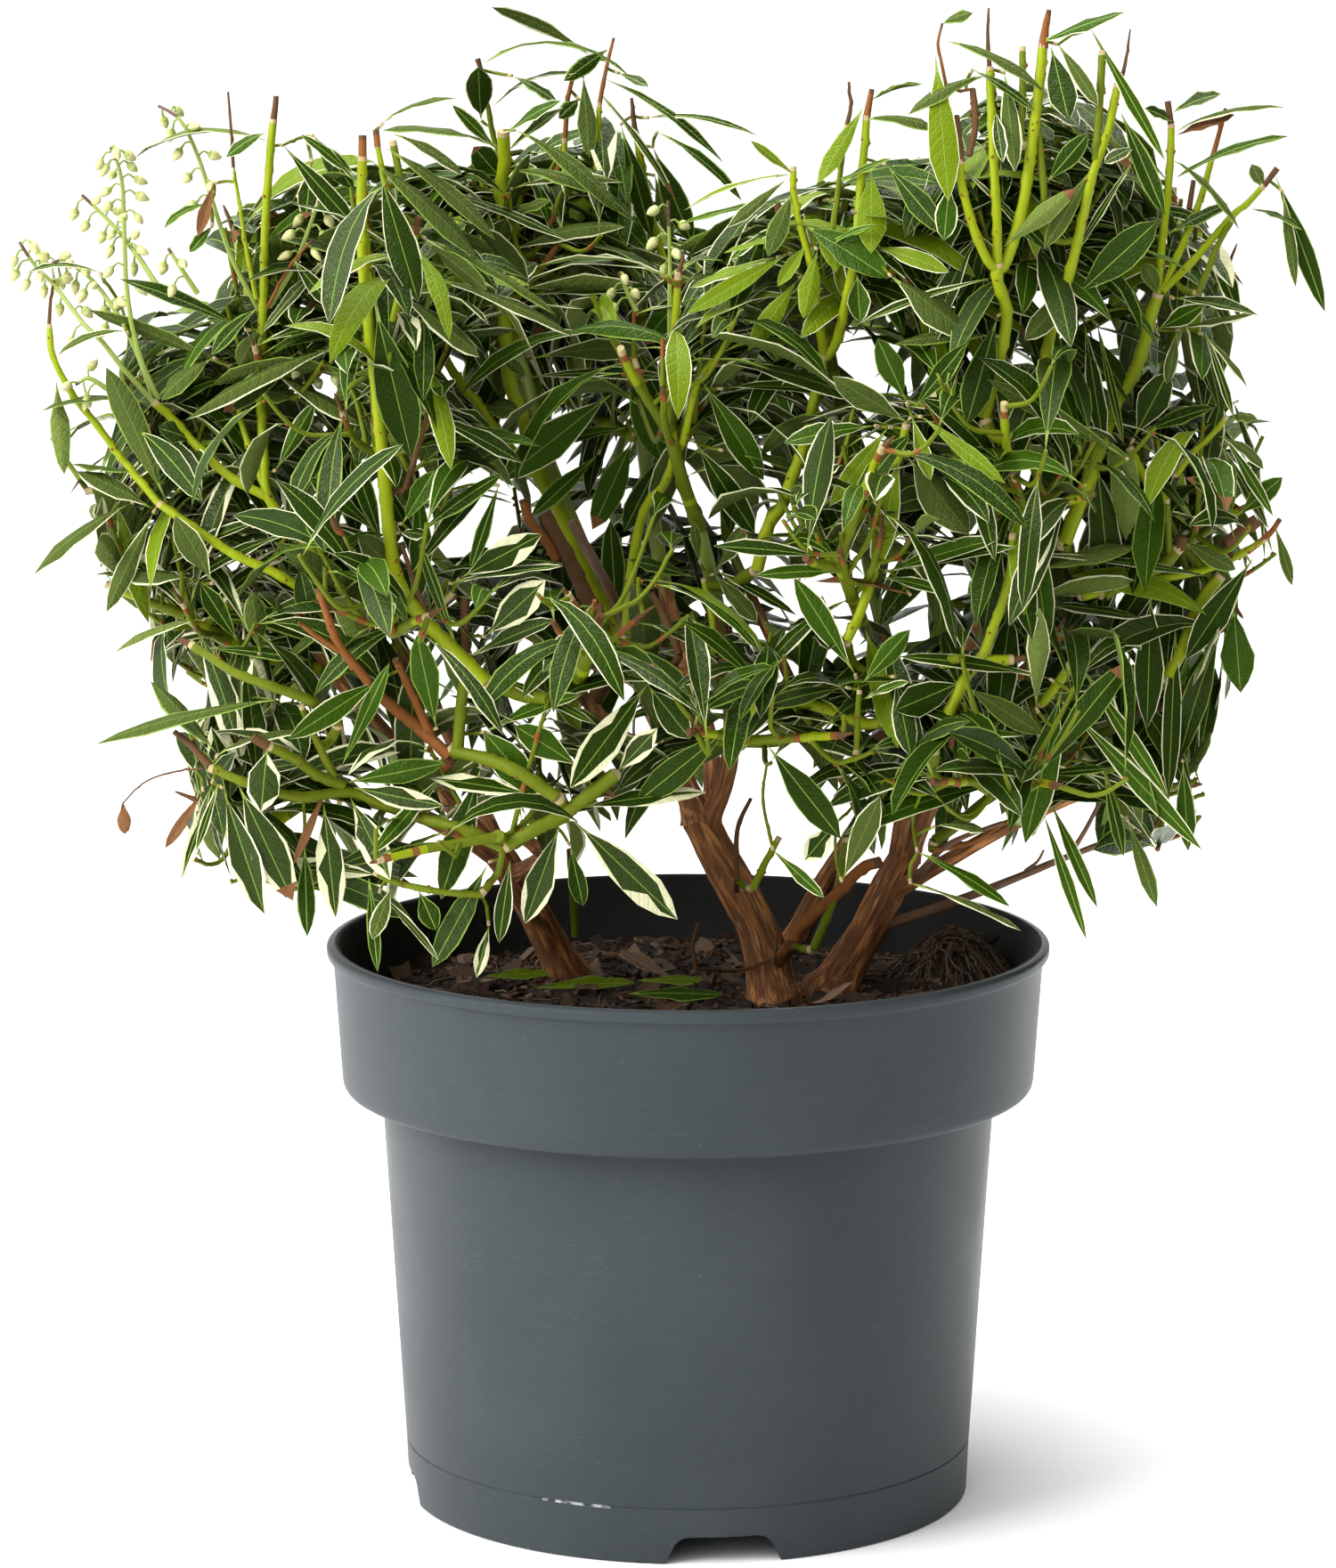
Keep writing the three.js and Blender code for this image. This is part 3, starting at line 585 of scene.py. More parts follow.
deadShapes = {
    "dead_branch": ("trunk_right", 0.5, 2.6, 1.3, (112, -2, 236), (146, -16, 253), (178, -40, 270)),
    "dead_twig": ("bough_right_low", 0.12, 1.9, 1, (98, -42, 262), (118, -60, 274)),
    "dead_spur_centre": ("bough_centre_main", 0.26, 2.9, 2.4, (-26, -30, 350), (-44, -44, 386)),
}
bark = {
    "step": 2.2, "sides": 22, "thinSides": 14, "ridge": 0.09, "boughShare": 0.8,
    "oldBelow": 300, "youngAbove": 372,
    "furrow": (0.150, 0.055, 0.016), "orange": (0.66, 0.270, 0.080), "tan": (0.78, 0.47, 0.22),
    "olive": (0.105, 0.145, 0.022), "lime": (0.215, 0.290, 0.035), "rust": (0.16, 0.055, 0.02),
    "dry": (0.145, 0.085, 0.052), "dryPale": (0.30, 0.20, 0.14),
}
limbs = {}  # name: curve points, foot and tip radii, flare


def layOutLimbs():
    for name, (foot, tip, flare, *route) in trunkShapes.items():
        limbs[name] = {"points": vectors(route), "foot": foot, "tip": tip, "flare": flare}
    for name, (on, at, foot, tip, *route) in {**boughShapes, **deadShapes}.items():
        start = curvePoint(limbs[on]["points"], at)
        limbs[name] = {"points": [start] + vectors(route), "foot": foot, "tip": tip, "flare": 0}


def barkRelief(strength, seed):
    def relief(radius, turn, run):
        x, y = math.cos(turn) * radius, math.sin(turn) * radius
        plates = noise.noise(Vector((x * 0.45, y * 0.45, run * 0.05 + seed)))
        fibres = noise.noise(Vector((x * 1.3, y * 1.3, run * 0.16 - seed)))
        lumps = noise.noise(Vector((x * 0.12, y * 0.12, run * 0.07 + seed)))
        return radius * strength * (1.1 * plates + 0.6 * fibres + 0.8 * lumps)
    return relief


def addLimb(heap, name, slot, strength, sides):
    limb = limbs[name]
    points = limb["points"]
    rooted = limb["flare"] > 0
    length = curveLength(points)
    steps = max(6, round(length / bark["step"]))
    centres, radii, ages = [], [], []
    for k in range(-3 if rooted else 0, steps + 1):
        t = max(k, 0) / steps
        centre = curvePoint(points, t)
        if k < 0:  # the foot runs on a little way into the soil
            centre = centre - curveTangent(points, 0) * (-k * bark["step"])
        radius = limb["foot"] + (limb["tip"] - limb["foot"]) * t + limb["flare"] * math.exp(-t * 9)
        if not rooted:  # a collar where it leaves the limb that carries it
            radius *= bark["boughShare"] + 0.45 * math.exp(-t * length / 6)
        span = bark["youngAbove"] - bark["oldBelow"]
        aged = (bark["youngAbove"] - centre.z) / span + 0.35 * noise.noise(centre * 0.05)
        centres.append(centre)
        radii.append(radius)
        ages.append(min(max(aged, 0), 1))
    if slot == 0 and not rooted:  # rounded tip inside the foliage
        radii[-1] *= 0.7
    relief = barkRelief(strength, sum(map(ord, name)) % 97)
    addTube(heap, centres, radii, sides, slot, relief, grain=True, age=ages)


def makeBark():
    material, tree, shader = newMaterial("fibrousBark", bark["orange"], 0.75)
    along = meshValue(tree, "grain", "Vector")
    age = meshValue(tree, "age", "Fac")
    fibres = mottled(tree, along, 620, 0.36, 0.66, stretch=9)
    plates = mottled(tree, along, 170, 0.4, 0.62, stretch=4)
    flakes = mottled(tree, along, 420, 0.6, 0.72, stretch=5)
    old = blend(tree, fibres, bark["furrow"], bark["orange"])
    old = blend(tree, ranged(tree, plates, 0.75, 0), old, bark["furrow"])
    old = blend(tree, ranged(tree, flakes, 0, 0.7), old, bark["tan"])
    young = blend(tree, plates, bark["olive"], bark["lime"])
    young = blend(tree, ranged(tree, flakes, 0, 0.6), young, bark["rust"])
    edge = mathNode(tree, "MULTIPLY_ADD", plates, 0.5)
    edge.node.inputs[2].default_value = 0.1
    turned = mathNode(tree, "GREATER_THAN", age, edge)
    color = blend(tree, turned, young, old)
    tree.links.new(color, shader.inputs["Base Color"])
    tree.links.new(ranged(tree, turned, 0.42, 0.82), shader.inputs["Roughness"])
    height = mathNode(tree, "MULTIPLY", mathNode(tree, "ADD", fibres, plates), age)
    roughen(tree, shader, height, 0.7, 0.9)
    return material


def makeDeadWood():
    material, tree, shader = newMaterial("dryWood", bark["dry"], 0.85)
    along = meshValue(tree, "grain", "Vector")
    fibres = mottled(tree, along, 700, 0.35, 0.65, stretch=10)
    blotches = mottled(tree, along, 120, 0.4, 0.65, stretch=3)
    color = blend(tree, fibres, bark["furrow"], bark["dry"])
    color = blend(tree, ranged(tree, blotches, 0, 0.55), color, bark["dryPale"])
    tree.links.new(color, shader.inputs["Base Color"])
    roughen(tree, shader, fibres, 0.5, 0.8)
    return material


deadSideTwigs = [  # foot, bend, tip and radius: what still stands on the dead branch
    ((146, -16, 253), (152, -26, 266), (158, -28, 279), 1.2),
    ((160, -26, 261), (167, -40, 262), (172, -50, 266), 0.8),
    ((130, -8, 246), (134, -16, 251), (136, -20, 256), 0.8),
]


def makeLimbs():
    layOutLimbs()
    barkSkin = makeBark()
    trunks, boughs, dead = Heap(), Heap(), Heap()
    for name in trunkShapes:
        addLimb(trunks, name, 0, bark["ridge"], bark["sides"])
    for name in boughShapes:
        addLimb(boughs, name, 0, bark["ridge"] * 0.7, bark["thinSides"])
    for name in deadShapes:
        addLimb(dead, name, 0, bark["ridge"] * 1.3, 10)
    for foot, bend, tip, radius in deadSideTwigs:
        points = vectors((foot, bend, tip))
        centres = [curvePoint(points, k / 8) for k in range(9)]
        radii = [radius * (1 - 0.05 * k) for k in range(9)]
        addTube(dead, centres, radii, 6, 0, barkRelief(0.15, radius), grain=True, age=[1] * 9)
    handOver(trunks.build("trunks", [barkSkin], 60), "bark", *trunkShapes)
    handOver(boughs.build("boughs", [barkSkin], 60), "bark", *boughShapes)
    handOver(dead.build("deadWood", [makeDeadWood()], 60), "dead_wood", *deadShapes)


makeLimbs()
print("stage 2: trunks, boughs and dead wood")


# the view in which the sprigs are laid out, also the camera's

cameraView = {"place": (-7.79, -2200, 649.7), "pitch": 9.579, "focal": 6495.2, "frame": (1500, 1761)}


def viewAxes():
    pitch = math.radians(cameraView["pitch"])
    ahead = Vector((0, math.cos(pitch), -math.sin(pitch)))
    return Vector(cameraView["place"]), ahead, Vector((0, math.sin(pitch), math.cos(pitch)))


def seen(x, y, depth):  # where the sight line of a place in the frame meets a depth
    eye, ahead, upward = viewAxes()
    wide, tall = cameraView["frame"]
    ray = ahead + upward * ((tall / 2 - y) / cameraView["focal"])
    ray.x = (x - wide / 2) / cameraView["focal"]
    return eye + ray * ((depth - eye.y) / ray.y)


def inFrame(p):  # and where a point stands in the frame
    eye, ahead, upward = viewAxes()
    wide, tall = cameraView["frame"]
    away = p - eye
    scale = cameraView["focal"] / away.dot(ahead)
    return round(wide / 2 + away.x * scale), round(tall / 2 - away.dot(upward) * scale)


# sprigs that stand out, laid out as the camera frames them (1500 x 1761). Each group has its depth in mm,
# stems (look, radii at foot and tip in mm, turns) and leaves (root, tip, width in mm, bend, facing, finish)
sprigs = {
    "plumes": {"depth": -50, "stems": [
        ("green", 2.1, 1.5, 372, 645, 340, 603, 302, 560, 296, 505, 292, 430, 295, 360, 298, 250, 304,
        165, 307, 134), ("dried", 1.4, 1.1, 307, 135, 309, 120, 310, 108),
        ("green", 2, 1.7, 300, 558, 259, 536, 222, 502, 195, 472, 172, 451),
        ("green", 1.1, 0.6, 288, 335, 278, 285, 268, 225, 262, 187),
        ("dried", 0.7, 0.4, 262, 188, 259, 140, 256, 103),
        ("rusty", 0.8, 0.5, 300, 345, 325, 300, 350, 270),
        ("green", 2, 1.7, 372, 700, 345, 668, 312, 645, 262, 622, 217, 592, 178, 565),
        ("green", 1.7, 1.2, 178, 565, 137, 515, 107, 475, 83, 445, 60, 402, 55, 365),
        ("dried", 0.8, 0.5, 55, 366, 57, 335, 61, 315),
        ("green", 1.5, 1.2, 296, 545, 283, 510, 272, 478, 268, 455)],
     "leaves": [
        (304, 160, 149, 168, 5, 0.9, "u", "underPale"), (300, 148, 253, 175, 6, 0.7, "f", "mid"),
        (240, 206, 222, 266, 5, 0.2, "F", "dry"), (235, 229, 182, 254, 3.5, 1.2, "f", "mid"),
        (238, 255, 213, 283, 5, 0.8, "F", "mid"), (275, 370, 135, 311, 6, 0.35, "f", "deep"),
        (256, 412, 100, 346, 7, 0.3, "b", "under"), (142, 372, 63, 396, 4, 1.1, "f", "under"),
        (112, 306, 27, 303, 3, 1.3, "f", "deep"), (63, 427, 72, 533, 9, 0.25, "F", "underPale"),
        (168, 453, 46, 457, 4, 0.6, "u", "under"), (186, 562, 120, 412, 12, 0.2, "b", "under"),
        (395, 384, 205, 468, 7, 0.5, "f", "under"), (335, 395, 250, 463, 11, 0.5, "F", "deep"),
        (296, 440, 326, 447, 8, 0.5, "f", "under"), (318, 163, 405, 262, 9, 0.3, "F", "deep"),
        (352, 152, 398, 214, 9, 0.2, "F", "deep"), (350, 183, 343, 246, 9, 0.2, "F", "deep"),
        (430, 262, 355, 266, 12, 0.4, "b", "under"), (328, 290, 374, 347, 7.5, 0.4, "F", "deep"),
        (385, 275, 292, 373, 4.5, 0.3, "f", "blue"), (290, 345, 236, 398, 6, 0.5, "f", "deep"),
        (292, 368, 268, 412, 10, 0.2, "F", "under"), (240, 402, 180, 448, 8, 0.7, "f", "under"),
        (216, 495, 178, 480, 9, 0.5, "f", "blue"), (172, 572, 86, 528, 8, 0.3, "f", "under"),
        (148, 565, 35, 643, 7, 0.6, "f", "under"), (172, 576, 119, 688, 9, 0.35, "F", "under"),
        (155, 532, 80, 521, 3, 0.1, "u", "under"), (215, 650, 132, 643, 8, 0.3, "f", "under"),
        (240, 655, 197, 578, 11, 0.2, "b", "under"), (330, 577, 186, 629, 5, 0.7, "f", "deep"),
        (335, 597, 206, 653, 6, 0.7, "f", "deep"), (230, 695, 126, 730, 4, 0.7, "f", "underPale"),
        (268, 722, 225, 655, 9, 0.1, "F", "deep"), (292, 735, 283, 665, 9, 0.2, "b", "under"),
        (230, 728, 346, 740, 5, 0.3, "f", "deep"), (432, 692, 306, 607, 12, 0.15, "b", "under"),
        (352, 708, 337, 640, 10, 0.2, "F", "blue"), (430, 668, 290, 768, 4, 0.9, "f", "under"),
        (430, 612, 395, 510, 9, 0.1, "F", "deep"), (425, 600, 347, 535, 7, 0.2, "f", "mid"),
        (310, 528, 353, 452, 8, 0.2, "F", "mid"), (412, 455, 402, 520, 10, 0.1, "F", "blue"),
        (305, 418, 408, 478, 7, 0.2, "f", "under")]},
    "leftRod": {"depth": -112, "stems": [
        ("green", 3, 1.8, 545, 765, 504, 724, 470, 690, 446, 650, 437, 600, 424, 450, 410, 330, 406, 240,
        407, 175), ("rusty", 1.7, 1.6, 407, 178, 407, 152),
        ("green", 1.3, 1.1, 452, 300, 447, 267, 437, 227, 423, 160),
        ("rusty", 1.3, 1.3, 424, 165, 422, 146), ("olive", 1.5, 1.5, 449, 200, 441, 158),
        ("dried", 1.3, 0.9, 455, 550, 470, 500, 480, 465),
        ("dried", 1.2, 0.8, 481, 696, 467, 660, 451, 612)],
     "leaves": [
        (425, 190, 470, 340, 13, 0.15, "F", "deep"), (420, 338, 462, 515, 18, 0.12, "F", "deep"),
        (432, 165, 560, 268, 7, 0.5, "f", "under"), (412, 178, 540, 290, 8, 0.5, "f", "under"),
        (440, 150, 520, 195, 5, 0.6, "f", "under"), (430, 138, 512, 107, 3, 0.7, "u", "under"),
        (478, 268, 628, 352, 4.5, 0.5, "f", "under"), (485, 312, 645, 375, 6, 0.4, "f", "under"),
        (400, 205, 340, 150, 5, 0.5, "f", "mid"), (475, 270, 548, 325, 8, 0.4, "b", "under"),
        (448, 332, 540, 400, 8, 0.4, "f", "under"), (452, 588, 488, 528, 9, 0.1, "F", "mid"),
        (470, 600, 563, 530, 7, 0.4, "f", "deep"), (462, 645, 553, 535, 7, 0.3, "f", "deep"),
        (515, 650, 608, 600, 12, 0.2, "F", "cream"), (560, 545, 528, 640, 6, 0.1, "F", "deep"),
        (505, 655, 632, 634, 4, 0.3, "f", "deep"), (545, 715, 612, 652, 14, 0.2, "F", "cream"),
        (512, 725, 470, 610, 5, 0.3, "F", "deep"), (528, 738, 622, 695, 7, 0.3, "f", "blue"),
        (448, 598, 480, 600, 6, 0.5, "f", "blue"), (440, 642, 402, 602, 10, 0.3, "f", "under"),
        (490, 818, 468, 714, 12, 0.15, "F", "mid"), (482, 466, 590, 520, 8, 0.3, "f", "deep")]},
    "stub": {"depth": -66, "stems": [
        ("dried", 3.3, 3, 693, 721, 683, 711, 669, 687, 656, 665, 643, 636, 627, 607, 611, 577),
        ("rusty", 2, 1.8, 624, 628, 613, 607, 595, 585, 587, 561)], "leaves": []},
    "rod": {"depth": -24, "stems": [
        ("green", 3, 2.6, 690, 705, 669, 668, 645, 615, 627, 572, 608, 540, 597, 505, 587, 470, 573, 433,
         569, 400, 566, 350, 562, 300, 566, 255, 562, 215, 566, 180, 565, 147),
        ("green", 2.4, 1.6, 610, 540, 568, 498, 540, 458, 517, 431, 490, 385, 470, 352)],
     "leaves": [
        (558, 168, 508, 118, 6, 0.2, "F", "mid"), (570, 150, 628, 112, 6, 0.5, "f", "mid"),
        (572, 168, 632, 120, 5, 0.3, "f", "deep"), (578, 146, 698, 235, 7.5, 0.9, "f", "under"),
        (572, 192, 668, 213, 5, 0.9, "f", "under"), (575, 212, 700, 200, 4.5, 0.8, "f", "under"),
        (568, 248, 618, 224, 5, 0.5, "f", "under"), (572, 285, 700, 250, 7.5, 0.8, "f", "under"),
        (585, 325, 712, 318, 9, 0.4, "b", "underPale"), (590, 332, 745, 322, 7, 0.3, "f", "deep"),
        (600, 402, 728, 390, 10, 0.6, "b", "under"), (562, 200, 532, 165, 12, 0.3, "F", "deep"),
        (553, 290, 568, 245, 9, 0.1, "b", "under"), (455, 205, 652, 272, 4, 0.5, "f", "deep"),
        (560, 165, 430, 142, 4, 0.5, "u", "under"), (590, 425, 772, 423, 6, 0.5, "f", "deep"),
        (552, 388, 590, 422, 6, 0.5, "F", "under"), (540, 460, 583, 460, 9, 0.5, "f", "under"),
        (690, 440, 562, 540, 16, 0.2, "F", "mid"), (705, 415, 745, 520, 14, 0.1, "F", "mid"),
        (672, 510, 596, 580, 8, 0.2, "F", "mid"), (712, 490, 665, 595, 13, 0.1, "F", "mid"),
        (745, 508, 700, 598, 11, 0.1, "F", "deep"), (693, 705, 685, 585, 11, 0.1, "F", "deep"),
        (705, 480, 625, 495, 6, 0.2, "f", "mid"), (712, 388, 748, 462, 10, 0.3, "F", "deep")]},
    "crest": {"depth": 15, "stems": [
        ("olive", 1.4, 1, 580, 205, 556, 160, 548, 120, 544, 110),
        ("rusty", 1.1, 0.8, 634, 160, 638, 110, 646, 77), ("green", 1.3, 1.2, 634, 240, 634, 155),
        ("green", 1.3, 1, 666, 240, 671, 160, 673, 115),
        ("rusty", 1, 0.6, 673, 118, 677, 95, 683, 67, 689, 43),
        ("green", 1.8, 1.5, 750, 310, 736, 261, 725, 213, 717, 165, 713, 146),
        ("dried", 1.2, 0.6, 713, 147, 711, 130, 709, 110), ("dried", 0.9, 1.2, 540, 78, 536, 66)],
     "leaves": [
        (662, 62, 552, 4, 7, 0.8, "b", "under"), (542, 72, 710, 73, 2, 1.5, "u", "under"),
        (683, 55, 634, 90, 8, 0.5, "F", "deep"), (553, 120, 645, 76, 3, 1, "u", "deep"),
        (575, 85, 627, 114, 5, 0.5, "f", "blue"), (655, 86, 662, 178, 8.5, 0.2, "F", "under"),
        (540, 135, 537, 76, 13, 0.2, "F", "blue"), (650, 112, 628, 132, 7, 0.5, "F", "deep"),
        (697, 140, 732, 268, 10, 0.15, "F", "deep"), (733, 165, 778, 275, 11, 0.15, "F", "deep"),
        (674, 105, 760, 222, 3.5, 0.5, "f", "blue"), (678, 88, 815, 178, 4, 0.8, "f", "deep"),
        (695, 82, 728, 97, 5, 0.2, "f", "blue"), (728, 132, 850, 147, 3.5, 0.9, "f", "deep"),
        (738, 148, 835, 222, 4, 0.8, "f", "deep"), (735, 197, 755, 268, 7.5, 0.2, "F", "under"),
        (778, 318, 720, 388, 12, 0.2, "F", "mid")]},
    "budSprig": {"depth": -72, "stems": [
        ("green", 2.3, 1.4, 703, 712, 708, 650, 716, 600, 726, 568, 745, 545, 757, 515, 768, 490, 776,
        455, 785, 420), ("green", 1.5, 1.3, 800, 740, 800, 700, 790, 650),
        ("green", 1.3, 1.2, 785, 420, 805, 400, 822, 378)],
     "leaves": [
        (788, 428, 858, 540, 12, 0.15, "F", "mid"), (780, 496, 848, 600, 12, 0.15, "F", "deep"),
        (812, 436, 943, 440, 6, 0.5, "f", "mid"), (812, 506, 898, 527, 4, 0.4, "f", "under"),
        (802, 645, 850, 698, 8, 0.3, "F", "under"), (800, 640, 895, 690, 5, 0.3, "f", "deep"),
        (780, 648, 706, 628, 6, 0.2, "f", "blue"), (785, 630, 778, 585, 5, 0.2, "F", "under"),
        (805, 640, 838, 590, 7, 0.2, "f", "under"), (852, 692, 922, 762, 7, 0.2, "F", "under")]},
    "brightSprig": {"depth": -85, "stems": [
        ("green", 2.6, 2.1, 850, 640, 864, 588, 877, 570, 890, 535, 903, 500, 912, 460, 918, 430, 924,
        398), ("green", 1.9, 1.2, 925, 400, 916, 333, 909, 293, 896, 245, 891, 213, 891, 187),
        ("green", 2, 1.5, 927, 402, 939, 384, 949, 341, 955, 315, 962, 260, 967, 200, 971, 160, 973, 130),
        ("rusty", 1.5, 1, 973, 132, 976, 115, 979, 100), ("olive", 1.2, 1, 933, 265, 941, 213, 950, 140),
        ("dried", 1, 0.5, 951, 140, 955, 120, 953, 92)],
     "leaves": [
        (890, 195, 843, 158, 4.5, 0.1, "F", "fresh"), (888, 196, 766, 232, 2.5, 0.8, "f", "fresh"),
        (890, 226, 760, 250, 2.5, 0.5, "f", "mid"), (882, 202, 816, 256, 5.5, 0.2, "F", "under"),
        (890, 215, 862, 288, 9, 0.2, "F", "under"), (900, 266, 812, 282, 3, 0.6, "f", "fresh"),
        (893, 245, 812, 296, 4, 0.5, "f", "mid"), (885, 285, 771, 352, 8, 0.3, "F", "fresh"),
        (872, 289, 774, 322, 5, 0.3, "f", "fresh"), (905, 275, 873, 322, 6, 0.2, "F", "fresh"),
        (918, 280, 902, 358, 9, 0.15, "F", "fresh"), (897, 312, 840, 394, 9, 0.2, "F", "fresh"),
        (900, 252, 998, 312, 13, 0.2, "f", "mid"), (978, 188, 978, 285, 13, 0.1, "F", "fresh"),
        (978, 275, 1066, 305, 7, 0.2, "f", "fresh"), (962, 308, 966, 362, 10, 0.1, "F", "mid"),
        (970, 120, 918, 206, 8, 0.1, "F", "fresh"), (940, 205, 1000, 177, 3, 0.3, "f", "mid"),
        (978, 112, 1035, 92, 3, 0.6, "u", "under"), (972, 135, 1055, 144, 4.5, 1, "f", "under"),
        (995, 185, 1060, 262, 10, 0.2, "F", "deep"), (925, 280, 985, 250, 3, 0.5, "f", "mid")]},
    "rightRods": {"depth": -95, "stems": [
        ("green", 2.5, 2.3, 1105, 470, 1125, 388, 1130, 349, 1120, 315, 1120, 295),
        ("green", 1.9, 1.5, 1117, 300, 1109, 293, 1093, 256, 1080, 208, 1078, 180),
        ("dried", 1.4, 1.2, 1079, 182, 1074, 130), ("dried", 1.3, 1.2, 1088, 175, 1095, 140, 1092, 100),
        ("green", 1.9, 1.5, 1120, 300, 1119, 240, 1115, 173, 1112, 107, 1111, 76),
        ("dried", 1, 0.4, 1111, 78, 1109, 40, 1110, 9),
        ("green", 2.2, 1.9, 1120, 305, 1131, 291, 1149, 228, 1158, 165, 1166, 106, 1171, 50),
        ("rusty", 2.1, 0.9, 1171, 54, 1174, 30, 1178, 11),
        ("green", 2.4, 1.5, 1170, 430, 1180, 370, 1190, 330, 1199, 314, 1214, 253, 1226, 198, 1244, 147,
        1255, 94), ("olive", 1.6, 1.5, 1230, 180, 1234, 122, 1238, 57),
        ("dried", 1, 0.3, 1257, 95, 1263, 73, 1269, 33),
        ("olive", 1.4, 1.3, 1146, 160, 1148, 101, 1148, 53),
        ("olive", 1.5, 1.3, 1175, 265, 1171, 203, 1163, 120),
        ("rusty", 0.7, 0.5, 1062, 95, 1055, 60, 1053, 48, 1058, 26)],
     "leaves": [
        (1050, 60, 1065, 226, 13.5, 0.1, "F", "fresh"), (1066, 205, 1060, 270, 10, 0.1, "F", "mid"),
        (1058, 27, 1092, 14, 5, 0.4, "f", "under"), (1062, 46, 1178, 102, 5, 0.8, "f", "under"),
        (1105, 86, 1020, 125, 6, 0.8, "f", "under"), (1092, 78, 1162, 122, 4, 0.5, "f", "deep"),
        (1078, 188, 1165, 272, 3, 0.3, "f", "deep"), (1128, 82, 1140, 192, 9, 0.2, "F", "under"),
        (1117, 122, 1126, 182, 6, 0.2, "F", "deep"), (1165, 50, 1262, 12, 6, 0.3, "f", "mid"),
        (1180, 52, 1200, 135, 12, 0.1, "F", "deep"), (1188, 50, 1233, 118, 7, 0.4, "F", "under"),
        (1125, 278, 1208, 211, 8, 0.15, "F", "underPale"), (1225, 190, 1172, 280, 8, 0.2, "F", "under"),
        (1175, 205, 1222, 150, 9, 0.2, "F", "deep"), (1205, 325, 1151, 382, 10, 0.2, "F", "under"),
        (1205, 335, 1300, 248, 15, 0.1, "F", "deep"), (1115, 312, 962, 362, 3.5, 0.4, "f", "deep"),
        (1000, 310, 1085, 375, 12, 0.1, "f", "under"), (1118, 378, 1002, 385, 5, 0.4, "f", "under"),
        (1120, 355, 1085, 478, 14, 0.1, "F", "deep"), (1178, 385, 1122, 545, 12, 0.1, "F", "blue"),
        (1265, 515, 1108, 424, 8, 0.2, "b", "under"), (1272, 182, 1208, 282, 3, 0.2, "f", "deep"),
        (1275, 165, 1240, 182, 5, 0.4, "f", "blue"), (1225, 33, 1308, 180, 6, 0.15, "F", "mid"),
        (1258, 125, 1308, 242, 8.5, 0.15, "F", "deep")]},
    "rightFork": {"depth": -50, "stems": [
        ("green", 3, 2.4, 1195, 610, 1225, 530, 1252, 455, 1271, 424, 1284, 389, 1292, 355, 1301, 328),
        ("green", 1.7, 1.4, 1300, 330, 1304, 279, 1310, 228, 1314, 177, 1315, 140),
        ("dried", 1.3, 1.3, 1315, 142, 1311, 114),
        ("green", 1.5, 1.2, 1305, 326, 1328, 274, 1348, 223, 1361, 177),
        ("rusty", 1.2, 0.8, 1361, 178, 1371, 142, 1376, 122),
        ("green", 1.6, 1.2, 1306, 326, 1343, 289, 1383, 243, 1401, 228, 1419, 208),
        ("dried", 1.2, 1.4, 1419, 209, 1434, 189),
        ("olive", 1.3, 1.1, 1345, 330, 1356, 304, 1368, 274, 1385, 245),
        ("dried", 1.2, 1, 1335, 235, 1340, 203),
        ("green", 1.3, 1, 1321, 533, 1338, 510, 1360, 489, 1378, 467),
        ("green", 2.1, 1.8, 1307, 562, 1292, 546, 1278, 525, 1268, 503),
        ("olive", 1.4, 1.3, 1313, 620, 1310, 560),
        ("olive", 2.6, 2.4, 1240, 668, 1271, 649, 1303, 636, 1324, 615),
        ("dried", 2.4, 2.2, 1323, 617, 1328, 602),
        ("green", 2, 1.3, 1215, 670, 1271, 656, 1330, 645, 1367, 635, 1399, 619, 1422, 604),
        ("green", 2.6, 2.3, 1310, 760, 1325, 733, 1348, 677, 1371, 646),
        ("dried", 2.2, 2.6, 1376, 610, 1395, 596, 1412, 584),
        ("rusty", 1.4, 1, 1400, 620, 1425, 600, 1437, 583)],
     "leaves": [
        (1318, 126, 1370, 104, 5.5, 0.7, "f", "blue"), (1320, 138, 1286, 121, 5, 0.3, "f", "blue"),
        (1320, 152, 1386, 128, 5, 0.2, "f", "dry"), (1318, 150, 1442, 115, 2.5, 0.7, "u", "under"),
        (1320, 200, 1445, 149, 4, 0.7, "f", "mid"), (1316, 180, 1393, 253, 3, 1.1, "f", "under"),
        (1404, 234, 1464, 256, 3, 0.6, "u", "deep"), (1432, 197, 1488, 350, 8, 0.35, "F", "deep"),
        (1440, 215, 1455, 322, 6, 0.3, "F", "under"), (1420, 214, 1405, 184, 6, 0.2, "F", "under"),
        (1302, 330, 1285, 296, 8, 0.2, "F", "under"), (1318, 335, 1412, 352, 6, 0.4, "f", "deep"),
        (1300, 370, 1352, 342, 8, 0.2, "F", "mid"), (1312, 262, 1378, 228, 6, 0.3, "f", "deep"),
        (1325, 370, 1408, 352, 4, 0.2, "f", "under"), (1350, 375, 1402, 435, 3, 0.5, "f", "under"),
        (1352, 370, 1386, 470, 4, 0.5, "F", "deep"), (1322, 372, 1310, 432, 6, 0.4, "F", "under"),
        (1273, 492, 1312, 418, 14, 0.1, "F", "deep"), (1280, 488, 1362, 456, 7, 0.4, "f", "deep"),
        (1378, 470, 1411, 469, 5, 1.2, "f", "under"), (1368, 490, 1420, 525, 5, 1, "f", "under"),
        (1373, 487, 1430, 580, 5, 0.5, "F", "mid"), (1368, 495, 1425, 595, 5, 0.3, "F", "deep"),
        (1432, 592, 1451, 658, 5, 0.5, "F", "under"), (1388, 580, 1440, 536, 9, 0.1, "F", "mid"),
